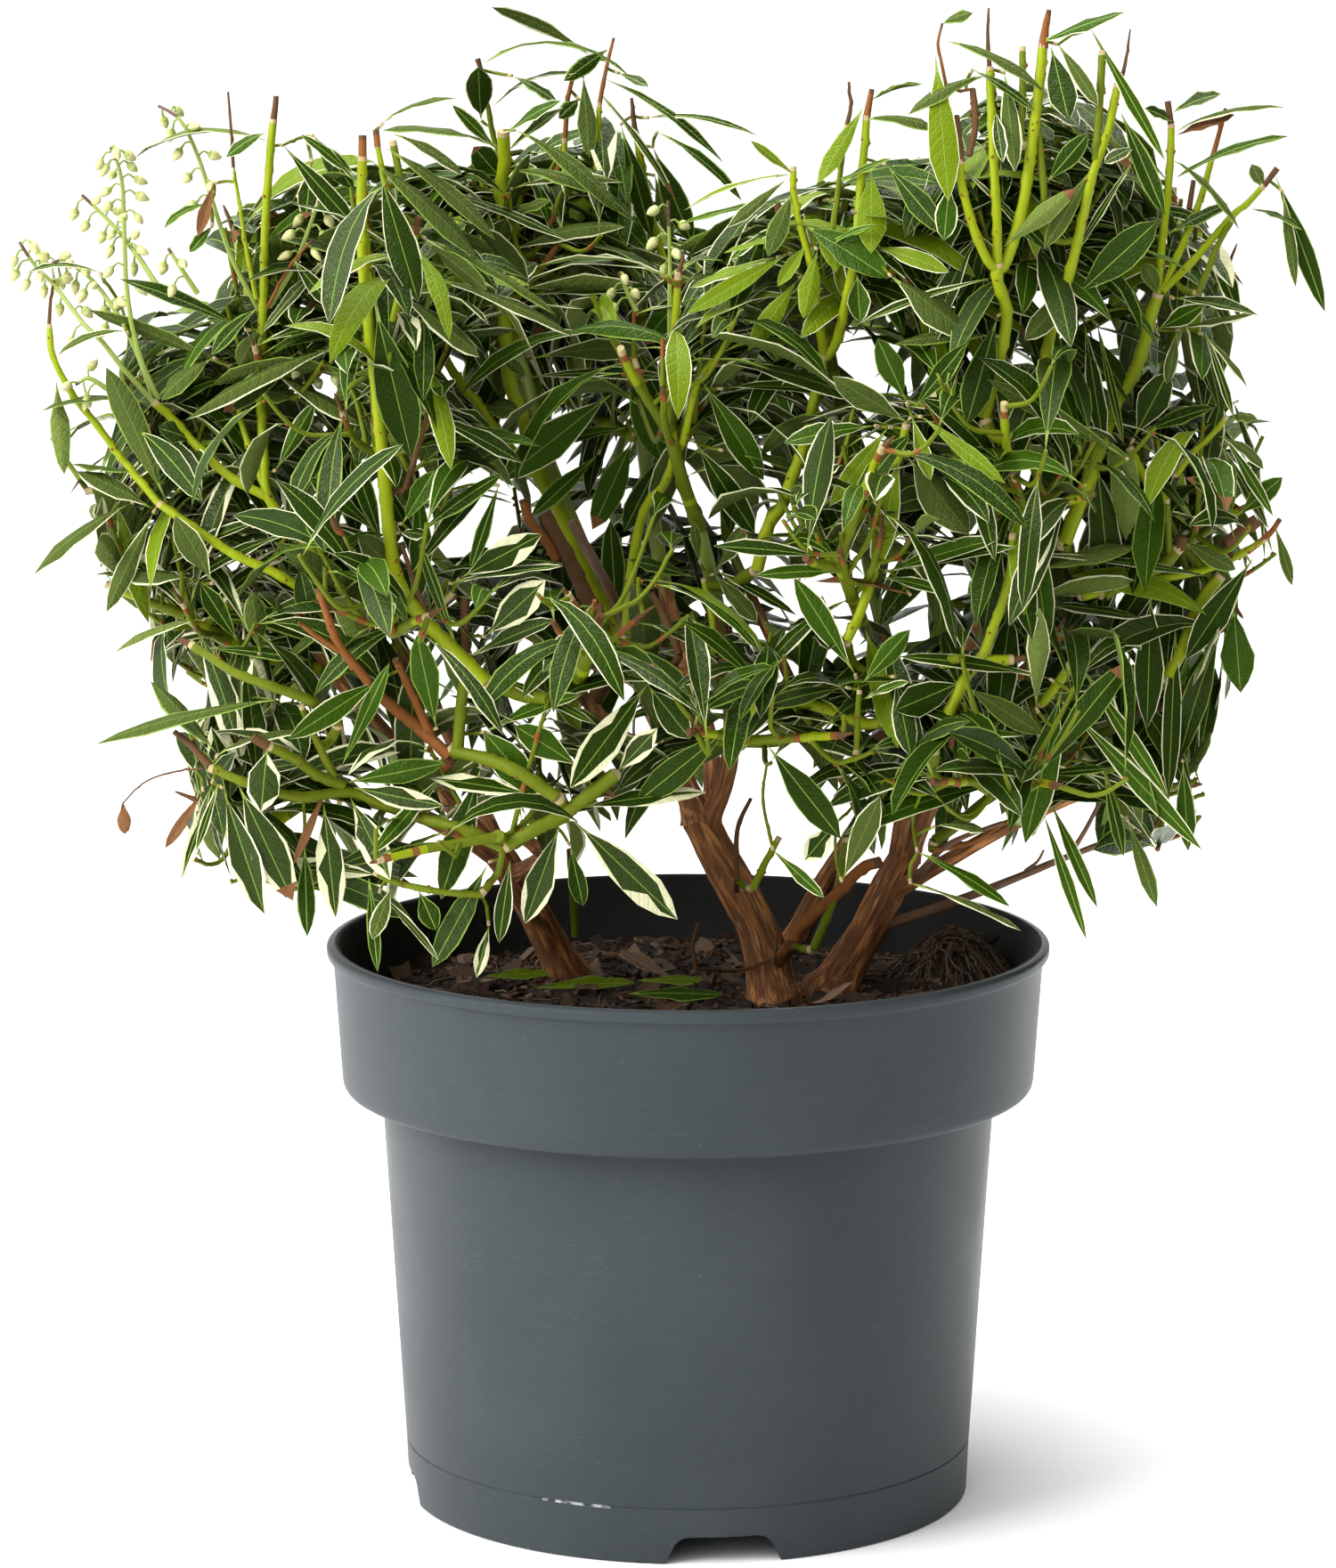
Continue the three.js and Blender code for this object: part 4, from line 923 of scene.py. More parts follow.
        (1408, 625, 1331, 741, 12, 0.15, "F", "deep"), (1385, 680, 1393, 778, 14, 0.1, "F", "mid"),
        (1328, 608, 1388, 640, 9, 0.5, "F", "under"), (1292, 662, 1288, 818, 13, 0.1, "F", "deep"),
        (1320, 700, 1312, 895, 9, 0.1, "F", "deep"), (1328, 855, 1334, 956, 9, 0.1, "F", "mid"),
        (1165, 642, 1276, 612, 8, 0.4, "f", "underPale"), (1150, 675, 1277, 651, 9, 0.3, "b", "underPale"),
        (1153, 677, 1281, 692, 5, 0.3, "f", "blue"), (1143, 622, 1360, 645, 4, 0.3, "f", "mid"),
        (1232, 440, 1170, 566, 15, 0.1, "F", "deep"), (1232, 520, 1245, 650, 15, 0.1, "F", "deep"),
        (1217, 360, 1240, 505, 8, 0.1, "F", "deep"), (1232, 365, 1262, 500, 4, 0.2, "F", "deep")]},
    "star": {"depth": -112, "stems": [
        ("green", 2, 1.6, 950, 720, 965, 690, 980, 645, 988, 605, 1003, 540, 1011, 505, 1018, 476),
        ("green", 2.5, 1.5, 1048, 840, 1068, 795, 1085, 760, 1104, 735, 1115, 705, 1126, 675, 1135, 635,
        1137, 600), ("green", 2.1, 2, 1055, 745, 1100, 742, 1138, 741),
        ("dried", 1.4, 1.2, 1138, 741, 1151, 739), ("olive", 1.3, 1.1, 962, 842, 963, 800, 965, 775),
        ("rusty", 0.6, 0.3, 962, 838, 961, 860)],
     "leaves": [
        (997, 480, 931, 569, 9, 0.1, "F", "fresh"), (1011, 508, 982, 643, 10.5, 0.1, "F", "fresh"),
        (1024, 468, 1045, 540, 7, 0.1, "F", "fresh"), (1035, 468, 1129, 543, 7, 0.15, "F", "fresh"),
        (982, 478, 880, 496, 8, 0.3, "f", "mid"), (1020, 475, 935, 422, 12, 0.1, "b", "under"),
        (1018, 452, 985, 380, 11, 0.1, "F", "mid"), (1025, 460, 1085, 385, 8, 0.1, "F", "deep"),
        (1018, 512, 1088, 600, 15, 0.1, "f", "under"), (988, 645, 1122, 603, 8, 0.2, "f", "mid"),
        (1000, 642, 1140, 613, 6, 0.2, "f", "mid"), (955, 642, 848, 645, 6, 0.3, "f", "mid"),
        (925, 625, 800, 612, 7, 0.2, "f", "deep"), (1022, 668, 915, 650, 4, 0.4, "u", "dry"),
        (990, 648, 1065, 665, 5, 0.3, "f", "mid"), (960, 757, 891, 648, 11, 0.15, "F", "mid"),
        (968, 768, 1022, 707, 9, 0.1, "F", "mid"), (950, 772, 858, 792, 7, 0.3, "f", "blue"),
        (970, 785, 1020, 765, 4, 0.3, "f", "mid"), (1178, 762, 1010, 735, 6, 0.3, "f", "deep"),
        (1082, 765, 1005, 798, 13, 0.1, "F", "deep"), (1082, 770, 1170, 825, 10, 0.1, "F", "under"),
        (1005, 760, 1023, 850, 10, 0.1, "F", "blue"), (1163, 795, 1167, 683, 9.5, 0.1, "F", "underPale")]},
    "hangers": {"depth": -100, "stems": [
        ("green", 2.4, 2.1, 838, 800, 870, 790, 905, 790, 940, 800, 975, 813, 1010, 802, 1052, 784),
        ("rusty", 1.8, 1.7, 757, 753, 785, 757, 806, 757),
        ("olive", 2.1, 1.7, 700, 720, 725, 737, 752, 750, 765, 764, 780, 774),
        ("dried", 1.7, 1.3, 763, 735, 747, 695, 731, 665),
        ("green", 1.9, 1.8, 1170, 790, 1190, 765, 1203, 745)],
     "leaves": [
        (728, 767, 640, 885, 15, 0.1, "F", "cream"), (728, 770, 775, 830, 13, 0.1, "F", "deep"),
        (692, 868, 738, 818, 10, 0.1, "F", "cream"), (822, 815, 713, 903, 13, 0.2, "F", "deep"),
        (648, 908, 793, 888, 8, 0.3, "f", "cream"), (645, 922, 761, 1033, 15, 0.15, "F", "cream"),
        (629, 926, 589, 1038, 12, 0.15, "F", "cream"), (622, 912, 543, 822, 14, 0.2, "F", "mid"),
        (652, 862, 578, 815, 12, 0.1, "F", "mid"), (540, 862, 495, 1010, 13, 0.1, "F", "deep"),
        (549, 968, 485, 1087, 11, 0.2, "F", "blue"), (573, 965, 560, 1060, 8, 0.15, "F", "deep"),
        (549, 1040, 535, 1098, 6, 0.1, "F", "cream"), (602, 893, 482, 873, 8, 0.2, "f", "cream"),
        (545, 822, 652, 778, 7, 0.4, "f", "mid"), (540, 752, 670, 812, 5, 0.3, "f", "mid"),
        (640, 950, 655, 1018, 8, 0.2, "F", "deep"), (860, 835, 944, 942, 13, 0.1, "F", "deep"),
        (862, 808, 972, 850, 7, 0.3, "f", "blue"), (938, 925, 903, 967, 11, 0.1, "F", "cream"),
        (1128, 880, 948, 932, 9, 0.6, "f", "mid"), (945, 990, 988, 895, 11, 0.1, "F", "under"),
        (868, 955, 925, 1008, 6, 0.2, "F", "mid"), (1030, 957, 1136, 1017, 5, 0.5, "f", "mid"),
        (1022, 992, 1148, 1043, 3, 0.5, "f", "under"), (1050, 928, 1108, 932, 4, 1, "f", "under"),
        (1193, 770, 1151, 948, 15, 0.1, "F", "mid"), (1212, 746, 1312, 895, 7, 0.4, "F", "mid"),
        (1197, 792, 1350, 955, 9, 0.1, "F", "mid"), (1240, 868, 1262, 962, 6, 0.1, "F", "deep"),
        (1266, 922, 1299, 1018, 7, 0.4, "F", "under"), (1180, 902, 1232, 1019, 6, 0.35, "F", "mid"),
        (1172, 915, 1220, 1055, 6, 0.35, "F", "mid"), (1263, 862, 1180, 868, 4, 0.1, "f", "deep")]},
    "skirt": {"depth": -104, "stems": [
        ("olive", 2.8, 2.4, 690, 870, 632, 915, 603, 930, 565, 952),
        ("olive", 2.5, 1.8, 565, 952, 520, 932, 473, 919, 433, 905, 393, 890, 340, 895, 308, 889, 273,
        878, 235, 862), ("olive", 2.3, 2, 385, 882, 356, 870, 330, 852, 300, 837),
        ("dried", 2.2, 2, 301, 838, 284, 828), ("olive", 1.7, 1.3, 375, 872, 360, 842, 345, 808, 338, 792),
        ("dried", 1.7, 1.2, 235, 860, 215, 838, 196, 822),
        ("dried", 0.45, 0.35, 228, 863, 190, 868, 160, 880, 138, 902),
        ("rusty", 2.7, 1.3, 505, 850, 470, 817, 430, 785, 405, 755, 383, 728, 372, 704, 357, 660),
        ("rusty", 1.3, 0.8, 380, 730, 355, 714, 335, 699),
        ("rusty", 2, 1.5, 488, 835, 465, 785, 450, 752, 444, 741),
        ("olive", 2.5, 2.2, 514, 842, 518, 790, 523, 755, 524, 732),
        ("dried", 1.7, 1.4, 523, 733, 521, 700, 522, 670),
        ("olive", 2.8, 2.4, 625, 895, 580, 866, 545, 852, 505, 843),
        ("olive", 2.1, 1.6, 380, 812, 345, 786, 305, 771, 265, 756, 235, 737, 213, 723),
        ("dried", 1.5, 1.2, 214, 724, 201, 718),
        ("olive", 1.5, 1.2, 540, 1005, 492, 1001, 444, 991, 420, 980)],
     "leaves": [
        (318, 785, 105, 833, 6, 0.35, "f", "under"), (244, 847, 169, 764, 7, 0.2, "f", "under"),
        (138, 900, 140, 937, 6, 0.1, "F", "dry"), (228, 889, 185, 953, 5, 0.2, "F", "dry"),
        (238, 880, 203, 989, 6, 0.3, "F", "cream"), (245, 880, 220, 955, 4, 0.2, "F", "deep"),
        (250, 885, 297, 1027, 13, 0.2, "F", "cream"), (267, 880, 329, 1012, 15, 0.15, "F", "silver"),
        (363, 900, 377, 1031, 12, 0.12, "F", "silver"), (342, 950, 345, 1052, 8, 0.1, "F", "deep"),
        (366, 886, 329, 972, 4, 0.1, "F", "dry"), (393, 895, 438, 988, 12, 0.2, "F", "cream"),
        (395, 884, 497, 905, 9, 0.3, "F", "cream"), (388, 879, 500, 857, 10, 0.2, "F", "mid"),
        (500, 868, 417, 960, 7, 0.2, "F", "mid"), (384, 860, 437, 745, 7, 0.3, "F", "mid"),
        (300, 838, 293, 912, 14, 0.1, "F", "cream"), (242, 850, 345, 817, 3, 0.8, "u", "under"),
        (432, 760, 324, 830, 10, 0.3, "F", "mid"), (414, 985, 424, 1092, 6, 0.25, "F", "deep"),
        (440, 996, 418, 1055, 8, 0.2, "F", "under"), (426, 1003, 494, 1078, 3, 0.4, "f", "blue"),
        (470, 1000, 490, 1045, 9, 0.2, "F", "deep"), (497, 905, 430, 870, 5, 0.4, "f", "mid")]},
    "lowWood": {"depth": -40, "stems": [
        ("dried", 1.3, 0.8, 827, 985, 827, 940, 832, 919, 843, 897),
        ("green", 1.6, 1.3, 845, 999, 859, 969, 875, 940),
        ("rusty", 2.8, 2.4, 890, 1060, 897, 1043, 935, 1008, 967, 976, 988, 968),
        ("olive", 1.9, 1.5, 913, 1067, 932, 1021, 943, 989, 950, 940),
        ("rusty", 1.3, 0.9, 1047, 955, 1087, 947, 1113, 933, 1145, 915),
        ("olive", 2.3, 2, 1049, 944, 1073, 928, 1100, 904, 1122, 889),
        ("dried", 2.1, 1.9, 1265, 800, 1310, 792, 1328, 784, 1358, 771),
        ("olive", 2.3, 2, 1209, 850, 1227, 830, 1258, 815),
        ("dried", 0.9, 0.6, 781, 1088, 778, 1060, 784, 1036),
        ("dried", 0.8, 0.5, 868, 1082, 872, 1050, 869, 1030)], "leaves": []},
}
facings = {"u": (0, -0.2, 1), "f": (0, -0.75, 0.8), "F": (0, -1, 0.12), "b": (0, 0.8, 0.5)}
seenShare = {"u": 0.45, "f": 0.8, "F": 1, "b": 0.9}
openings = [  # sky seen through the crown: place in the frame, and radius
    (60, 200, 120), (80, 300, 95), (190, 225, 62), (215, 310, 40), (80, 430, 45), (100, 500, 22),
    (50, 620, 60), (100, 730, 70), (100, 900, 110), (60, 1020, 130), (215, 785, 20), (190, 760, 12),
    (268, 638, 12), (368, 438, 20), (365, 520, 10), (308, 645, 8), (505, 415, 17), (560, 480, 9),
    (641, 508, 13), (545, 590, 32), (510, 612, 20), (658, 590, 19), (562, 672, 11), (592, 722, 12),
    (690, 476, 8), (720, 640, 8), (790, 482, 9), (966, 412, 24), (1026, 425, 13), (782, 552, 16),
    (855, 632, 13), (1036, 560, 9), (1072, 662, 13), (1022, 715, 16), (790, 690, 8), (935, 742, 8),
    (1050, 620, 7), (1126, 482, 10), (1148, 540, 13), (1226, 422, 13), (1216, 595, 11), (1242, 382, 9),
    (1290, 510, 9), (1336, 662, 9), (1410, 510, 18), (1430, 420, 50), (1460, 510, 40), (1480, 640, 40),
    (1450, 760, 50), (1440, 880, 80), (328, 915, 16), (396, 932, 13), (408, 1000, 15), (320, 780, 8),
    (300, 800, 8), (602, 752, 10), (600, 802, 9), (572, 918, 17), (735, 912, 15), (845, 905, 34),
    (845, 970, 26), (745, 962, 15), (850, 832, 12), (1030, 918, 22), (1102, 905, 19), (905, 842, 11),
    (915, 992, 11), (1180, 1010, 60), (1290, 1040, 80), (1200, 935, 26), (1390, 850, 34), (480, 50, 65),
    (610, 170, 8), (830, 50, 90), (890, 110, 60), (820, 190, 20), (990, 45, 45), (790, 130, 20),
    (1350, 50, 62), (1440, 90, 45), (1440, 180, 18), (1410, 300, 28), (1345, 190, 14), (1100, 150, 8),
    (1200, 950, 20), (1300, 880, 12), (230, 160, 20), (770, 230, 18), (800, 255, 14),
]
# the crown's upper and lower edges in the frame: outside them no leaf is grown
leafyBelow = [(0, 400), (90, 350), (160, 290), (250, 240), (330, 190), (420, 180), (520, 190), (600, 165),
              (680, 120), (760, 260), (850, 230), (940, 200), (1040, 180), (1100, 110), (1200, 90),
              (1290, 160), (1380, 280), (1500, 430)]
leafyAbove = [(0, 950), (200, 980), (330, 1030), (470, 1040), (560, 990), (690, 970), (770, 890), (860, 880),
              (960, 980), (1100, 990), (1200, 960), (1330, 990), (1500, 880)]
farOff = 1e6


class ViewMap:  # what shows where: open sky, or how near a sprig stands
    def __init__(self):
        wide, tall = cameraView["frame"]
        self.open = np.zeros((tall, wide), bool)
        self.near = np.full((tall, wide), farOff)
        rows = np.arange(tall)[:, None]
        highest, lowest = (np.interp(np.arange(wide), *zip(*line)) for line in (leafyBelow, leafyAbove))
        self.open |= (rows < highest) | (rows > lowest)
        for x, y, radius in openings:
            rows, around = self.disc(x, y, radius)
            self.open[rows] |= around

    def disc(self, x, y, radius):
        tall, wide = self.near.shape
        left, right, top, bottom = (max(0, x - radius), min(wide, x + radius + 1),
                                    max(0, y - radius), min(tall, y + radius + 1))
        spotsY, spotsX = np.mgrid[top:bottom, left:right]
        return np.s_[top:bottom, left:right], (spotsX - x) ** 2 + (spotsY - y) ** 2 < radius ** 2

    def keep(self, p, radius):
        window, around = self.disc(*inFrame(p), radius)
        patch = self.near[window]
        patch[around] = np.minimum(patch[around], p.y)

    def sky(self, p):
        x, y = inFrame(p)
        tall, wide = self.near.shape
        return not (0 <= x < wide and 0 <= y < tall) or bool(self.open[y, x])

    def hides(self, p):  # stands before a sprig
        x, y = inFrame(p)
        return p.y < self.near[y, x] + 2 and self.near[y, x] < farOff


viewMap = ViewMap()
for name in trunkShapes:  # the trunks stay in view
    for k in range(9):
        viewMap.keep(curvePoint(limbs[name]["points"], k / 8), 24)


# crown: its outline, and the masses with the shoots that lead them

crown = {
    "top": [(-256, 488), (-214, 526), (-150, 546), (-96, 552), (-76, 577), (-24, 566), (10, 538), (28, 510),
            (48, 542), (78, 560), (100, 577), (168, 577), (202, 550), (230, 528), (245, 486)],
    "left": [(228, 172), (252, 200), (290, 222), (330, 232), (372, 252), (486, 257)],
    "right": [(228, 172), (242, 198), (290, 212), (350, 226), (400, 236), (480, 246)],
    "front": [(228, 192), (290, 200), (400, 208), (480, 182), (577, 122)],
    "back": [(228, 180), (290, 200), (400, 214), (480, 190), (577, 126)],
}
massRows = {  # limb, where on it, heart, reach, and the leads' tips
    "far_left": ("bough_left_outer", 0.9, (-206, -20, 424), (40, 45, 70), (-248, -26, 452),
        (-206, -16, 466), (-240, -25, 392)),
    "upper_left": ("bough_left_outer", 1, (-160, -26, 460), (42, 60, 75), (-155, -40, 543),
        (-180, 8, 530)),
    "upper_left_front": ("bough_left_high", 1, (-114, -92, 440), (45, 60, 66), (-119, -98, 534),
        (-97, -120, 505)),
    "top_left": ("bough_centre_main", 1, (-68, -20, 490), (45, 50, 70), (-70, -15, 532), (-78, 0, 556),
        (-58, 14, 560)),
    "top_middle": ("bough_centre_back", 1, (-20, 55, 500), (50, 50, 60), (-29, 60, 562), (-46, 40, 552),
        (12, 58, 528)),
    "left_middle": ("bough_left_outer", 0.56, (-190, -34, 362), (52, 60, 45), (-240, -30, 368),
        (-228, -45, 330)),
    "lower_left": ("bough_left_low", 1, (-166, -62, 284), (50, 55, 45), (-204, -60, 296),
        (-158, -92, 258)),
    "centre_left_front": ("bough_left_high", 0.66, (-108, -120, 368), (52, 50, 45), (-130, -142, 402),
        (-80, -152, 368)),
    "lower_front": ("bough_left_front", 1, (-70, -116, 292), (55, 45, 44), (-50, -154, 284),
        (-114, -130, 272)),
    "centre_front": ("bough_centre_front", 1, (-36, -118, 366), (40, 50, 45), (-56, -142, 404),
        (-20, -152, 392)),
    "centre_upper": ("bough_centre_right", 1, (-8, -84, 442), (42, 50, 50), (-4, -100, 484),
        (-28, -118, 466)),
    "centre_low": ("bough_centre_right", 0.46, (20, -104, 322), (50, 45, 32), (-10, -140, 322),
        (56, -128, 318)),
    "top_right_inner": ("bough_right_inner", 1, (50, -50, 482), (42, 55, 62), (66, -60, 545),
        (26, -42, 522), (80, -84, 488)),
    "top_right": ("bough_right_main", 1, (118, -42, 494), (40, 50, 70), (110, -50, 576), (133, -44, 574),
        (158, -24, 562)),
    "top_right_outer": ("bough_right_outer", 1, (186, -10, 482), (45, 55, 55), (181, -10, 538),
        (204, 4, 534), (239, -12, 496)),
    "right_middle": ("bough_right_main", 0.62, (122, -92, 412), (42, 52, 48), (112, -124, 446),
        (148, -108, 404)),
    "right_outer": ("bough_right_outer", 0.62, (188, -24, 388), (42, 60, 45), (230, -18, 398),
        (208, -26, 350)),
    "lower_right_front": ("bough_right_low", 0.56, (116, -98, 308), (50, 45, 36), (134, -132, 300),
        (80, -126, 300)),
    "lower_right": ("bough_right_low", 1, (176, -8, 292), (45, 60, 44), (196, 2, 278), (178, -44, 262)),
    "centre_right": ("bough_right_inner", 0.52, (54, -124, 396), (42, 46, 48), (70, -148, 428),
        (40, -144, 386)),
    "back_left_high": ("bough_left_back", 1, (-134, 82, 430), (62, 60, 80), (-150, 60, 524)),
    "back_left_low": ("bough_left_back", 0.6, (-168, 78, 318), (55, 62, 45), (-216, 62, 340)),
    "back_top": ("bough_centre_back", 0.74, (-66, 118, 452), (52, 55, 72), (-72, 112, 540)),
    "back_middle": ("bough_back_left", 1, (14, 150, 424), (55, 50, 62), (10, 150, 506)),
    "back_low": ("bough_back_left", 0.6, (-36, 156, 322), (70, 48, 42), (-80, 166, 338)),
    "back_right": ("bough_back_right", 0.62, (140, 132, 396), (60, 60, 55), (190, 110, 410)),
    "back_right_low": ("bough_back_right", 0.32, (138, 112, 296), (62, 60, 38), (190, 86, 300)),
    "back_top_right": ("bough_back_right", 1, (112, 64, 496), (62, 52, 62), (122, 60, 560),
        (60, 70, 520)),
}
masses = {"mass_" + name: {"on": on, "at": at, "heart": heart, "reach": reach, "leads": leads}
          for name, (on, at, heart, reach, *leads) in massRows.items()}
regions = {
    "Left": ["mass_far_left", "mass_upper_left", "mass_upper_left_front", "mass_top_left",
             "mass_left_middle", "mass_lower_left"],
    "Middle": ["mass_top_middle", "mass_centre_left_front", "mass_lower_front", "mass_centre_front",
               "mass_centre_upper", "mass_centre_low", "mass_centre_right"],
    "Right": ["mass_top_right_inner", "mass_top_right", "mass_top_right_outer", "mass_right_middle",
              "mass_right_outer", "mass_lower_right_front", "mass_lower_right"],
    "Back": [name for name in masses if "_back_" in name],
}
growth = {
    "shoots": 5, "sideTwigs": 3, "sideLength": (26, 48), "clear": 1.2, "leafSpace": 4.6,
    "leadRadius": (2.1, 1.4), "shootRadius": (1.6, 1.1), "sideRadius": (1.15, 0.8),
    "inset": 12, "leadLeaves": 12, "shootLeaves": 11, "sideLeaves": 9, "stemLeaves": 6, "tries": 7,
    "leafFrom": {"stem": 0.4, "lead": 0.25, "shoot": 0.25, "side": 0.3},
    "opening": (0.8, 1.35), "droop": (0.25, 1.2), "curl": (0.1, 0.8), "tilt": (0.3, 1.2),
    "leastSize": 0.76, "sizeSpread": 0.36, "swing": 0.55,
    "lastTries": 4, "closed": 0.35, "shrunk": 0.85,  # past these tries a leaf opens less and is smaller
    "shortest": 0.35, "shorten": 0.13, "sway": 7, "sag": 4, "startsWithin": 0.3,
    "sideFrom": 0.22, "sideStep": 0.34, "sideSpread": 0.12,
}
potSpace = {  # where no leaf may lie: about the rim, and in the soil
    "height": 222, "inside": 126, "outside": 144, "soil": 206, "soilOut": 140,
}
thinned = {"mass_lower_right": 0.7, "mass_lower_right_front": 0.75, "mass_far_left": 0.6}
hearts = {name: Vector(mass["heart"]) for name, mass in masses.items()}


def alongChain(chain, at):
    places, values = zip(*chain)
    return float(np.interp(at, places, values))


def inCrown(p, margin=0):
    depth = alongChain(crown["front"] if p.y < 0 else crown["back"], p.z)
    width = alongChain(crown["left"] if p.x < 0 else crown["right"], p.z)
    spread = abs(p.x / (width - margin)) ** 3 + (p.y / (depth - margin)) ** 2
    return spread < 1 and crown["left"][0][0] < p.z < alongChain(crown["top"], p.x) - margin


def inOwnSpace(name, p):  # a mass owns what lies nearest to its heart
    if not inCrown(p):
        return False
    own = (p - hearts[name]).length
    return all(own <= (p - heart).length for heart in hearts.values())


def limbGuard():  # samples of every limb, to keep leaves out of wood
    spots = []
    for limb in limbs.values():
        steps = max(4, round(curveLength(limb["points"]) / 4))
        for k in range(steps + 1):
            t = k / steps
            radius = limb["foot"] + (limb["tip"] - limb["foot"]) * t + limb["flare"] * math.exp(-t * 9)
            spots.append((curvePoint(limb["points"], t), radius))
    tree = KDTree(len(spots))
    for k, (spot, _) in enumerate(spots):
        tree.insert(spot, k)
    tree.balance()
    return tree, [radius for _, radius in spots]


guardTree, guardRadii = limbGuard()


def hitsWood(p, gap=growth["clear"]):
    return any(distance < guardRadii[k] + gap for _, k, distance in guardTree.find_range(p, 12))


def hitsPot(p):
    out = math.hypot(p.x, p.y)
    inRim = p.z < potSpace["height"] and potSpace["inside"] < out < potSpace["outside"]
    return inRim or p.z < potSpace["soil"] and out < potSpace["soilOut"]


def stemOf(name):
    mass = masses[name]
    limb = limbs[mass["on"]]
    start = curvePoint(limb["points"], mass["at"])
    parting = hearts[name] - up * (0.3 * mass["reach"][2])
    bend = start.lerp(parting, 0.5) - up * (0.06 * (start - parting).length)
    return {"points": [start, bend, parting], "foot": limb["tip"] * 0.92, "tip": 2.4, "kind": "stem"}


def shootTargets(name, draw):
    mass = masses[name]
    targets = vectors(mass["leads"])
    count = growth["shoots"]
    spin = draw() * math.pi * 2
    for i in range(len(targets), count):
        rise = 0.85 - 1.15 * ((i + 0.5) / count)
        flat = math.sqrt(1 - rise * rise)
        turn = spin + i * goldenAngle
        x, y, z = mass["reach"]
        step = Vector((x * flat * math.cos(turn), y * flat * math.sin(turn), z * rise))
        targets.append(hearts[name] + step * 0.5)
    return targets


def fitShoot(name, points, radii, kind):  # shortened until it keeps to its space
    start, end = points[0], points[-1]
    share = 1
    while share > growth["shortest"]:
        scaled = [start + (p - start) * share for p in points]
        tip, middle = scaled[-1], curvePoint(scaled, 0.6)
        free = inCrown(middle) and not hitsWood(tip) and not hitsWood(middle, 0)
        if free and inOwnSpace(name, tip) and not viewMap.sky(tip) and not viewMap.sky(middle):
            return {"points": scaled, "foot": radii[0], "tip": radii[1], "kind": kind}
        share -= growth["shorten"]
    return None


def growTwigs(name, draw):
    stem = stemOf(name)
    leadCount = len(masses[name]["leads"])
    targets = shootTargets(name, draw)
    twigs = [stem]
    for i, target in enumerate(targets):
        start = curvePoint(stem["points"], 1 - growth["startsWithin"] * (i / len(targets)))
        lead = i < leadCount
        sway = Vector((draw() - 0.5, draw() - 0.5, 0)) * growth["sway"]
        middle = start.lerp(target, 0.5) + sway - up * (0 if lead else growth["sag"])
        kind = "lead" if lead else "shoot"
        shoot = fitShoot(name, [start, middle, target], growth[kind + "Radius"], kind)
        if shoot:
            twigs.append(shoot)
    for shoot in twigs[1:]:
        turn = draw() * math.pi * 2
        for k in range(growth["sideTwigs"]):
            at = growth["sideFrom"] + growth["sideStep"] * k + growth["sideSpread"] * draw()
            start = curvePoint(shoot["points"], at)
            axis = curveTangent(shoot["points"], at)
            turn += goldenAngle
            outward = aside(axis, turn)
            low, high = growth["sideLength"]
            reach = low + (high - low) * draw()
            middle = start + (outward * 0.8 + axis * 0.35 + up * 0.1) * (reach * 0.5)
            tip = start + (outward * 0.72 + axis * 0.5 + up * 0.42) * reach
            side = fitShoot(name, [start, middle, tip], growth["sideRadius"], "side")
            if side:
                twigs.append({**side, "on": shoot, "at": at})
    return twigs


# leaves: where each one sits, before its blade is made

leafShape = {
    "length": 59, "width": 10.8, "petiole": 0.08, "thickness": 0.34,
    "baseTaper": 1.25, "tipTaper": 0.92, "margin": 0.42, "wideMargin": 2.4, "midrib": 0.17,
    "girth": (0.86, 1.12), "leastHalf": 0.62, "uneven": 0.045, "fold": (0.05, 0.5), "roll": (0.0, 0.45),
    "ripple": 0.55, "ribDepth": 0.22,
}
leafMix = {  # how each part of the crown is coloured: weights by variant
    "usual": {"deep": 5, "mid": 3, "blue": 3, "fresh": 1, "cream": 0.6},
    "bright": {"fresh": 5, "mid": 3, "deep": 3},
    "creamy": {"cream": 6, "blue": 3, "deep": 3},
    "shaded": {"deep": 6, "blue": 3, "mid": 1},
}
mixOf = {
    "mass_top_right_inner": "bright", "mass_lower_left": "creamy", "mass_lower_front": "creamy",
    "mass_left_middle": "creamy", "mass_lower_right_front": "shaded", "mass_lower_right": "shaded",
    "mass_centre_low": "shaded",
}


class LeafGrid:  # keeps blades from lying in one another
    def __init__(self, cell):
        self.cell, self.cells = cell, {}

    def key(self, p):
        return tuple(math.floor(c / self.cell) for c in p)

    def near(self, p):
        x, y, z = self.key(p)
        for i in (x - 1, x, x + 1):
            for j in (y - 1, y, y + 1):
                for k in (z - 1, z, z + 1):
                    for other in self.cells.get((i, j, k), ()):
                        if (other - p).length < self.cell:
                            return True
        return False

    def keep(self, p):
        self.cells.setdefault(self.key(p), []).append(p)


leafGrid = LeafGrid(growth["leafSpace"])


def bladeRun(leaf, stops):  # the midrib's way out and down
    spot, along, face = leaf["root"], leaf["along"], leaf["face"]
    spots = [spot]
    for a, b in zip(stops, stops[1:]):
        share = b - a
        along = (along - up * (leaf["droop"] * share) - face * (leaf["curl"] * share)).normalized()
        face = (face - along * face.dot(along)).normalized()
        spot = spot + along * (leaf["length"] * share)
        spots.append(spot)
    return spots


testStops = (0, 0.15, 0.35, 0.55, 0.78, 1)


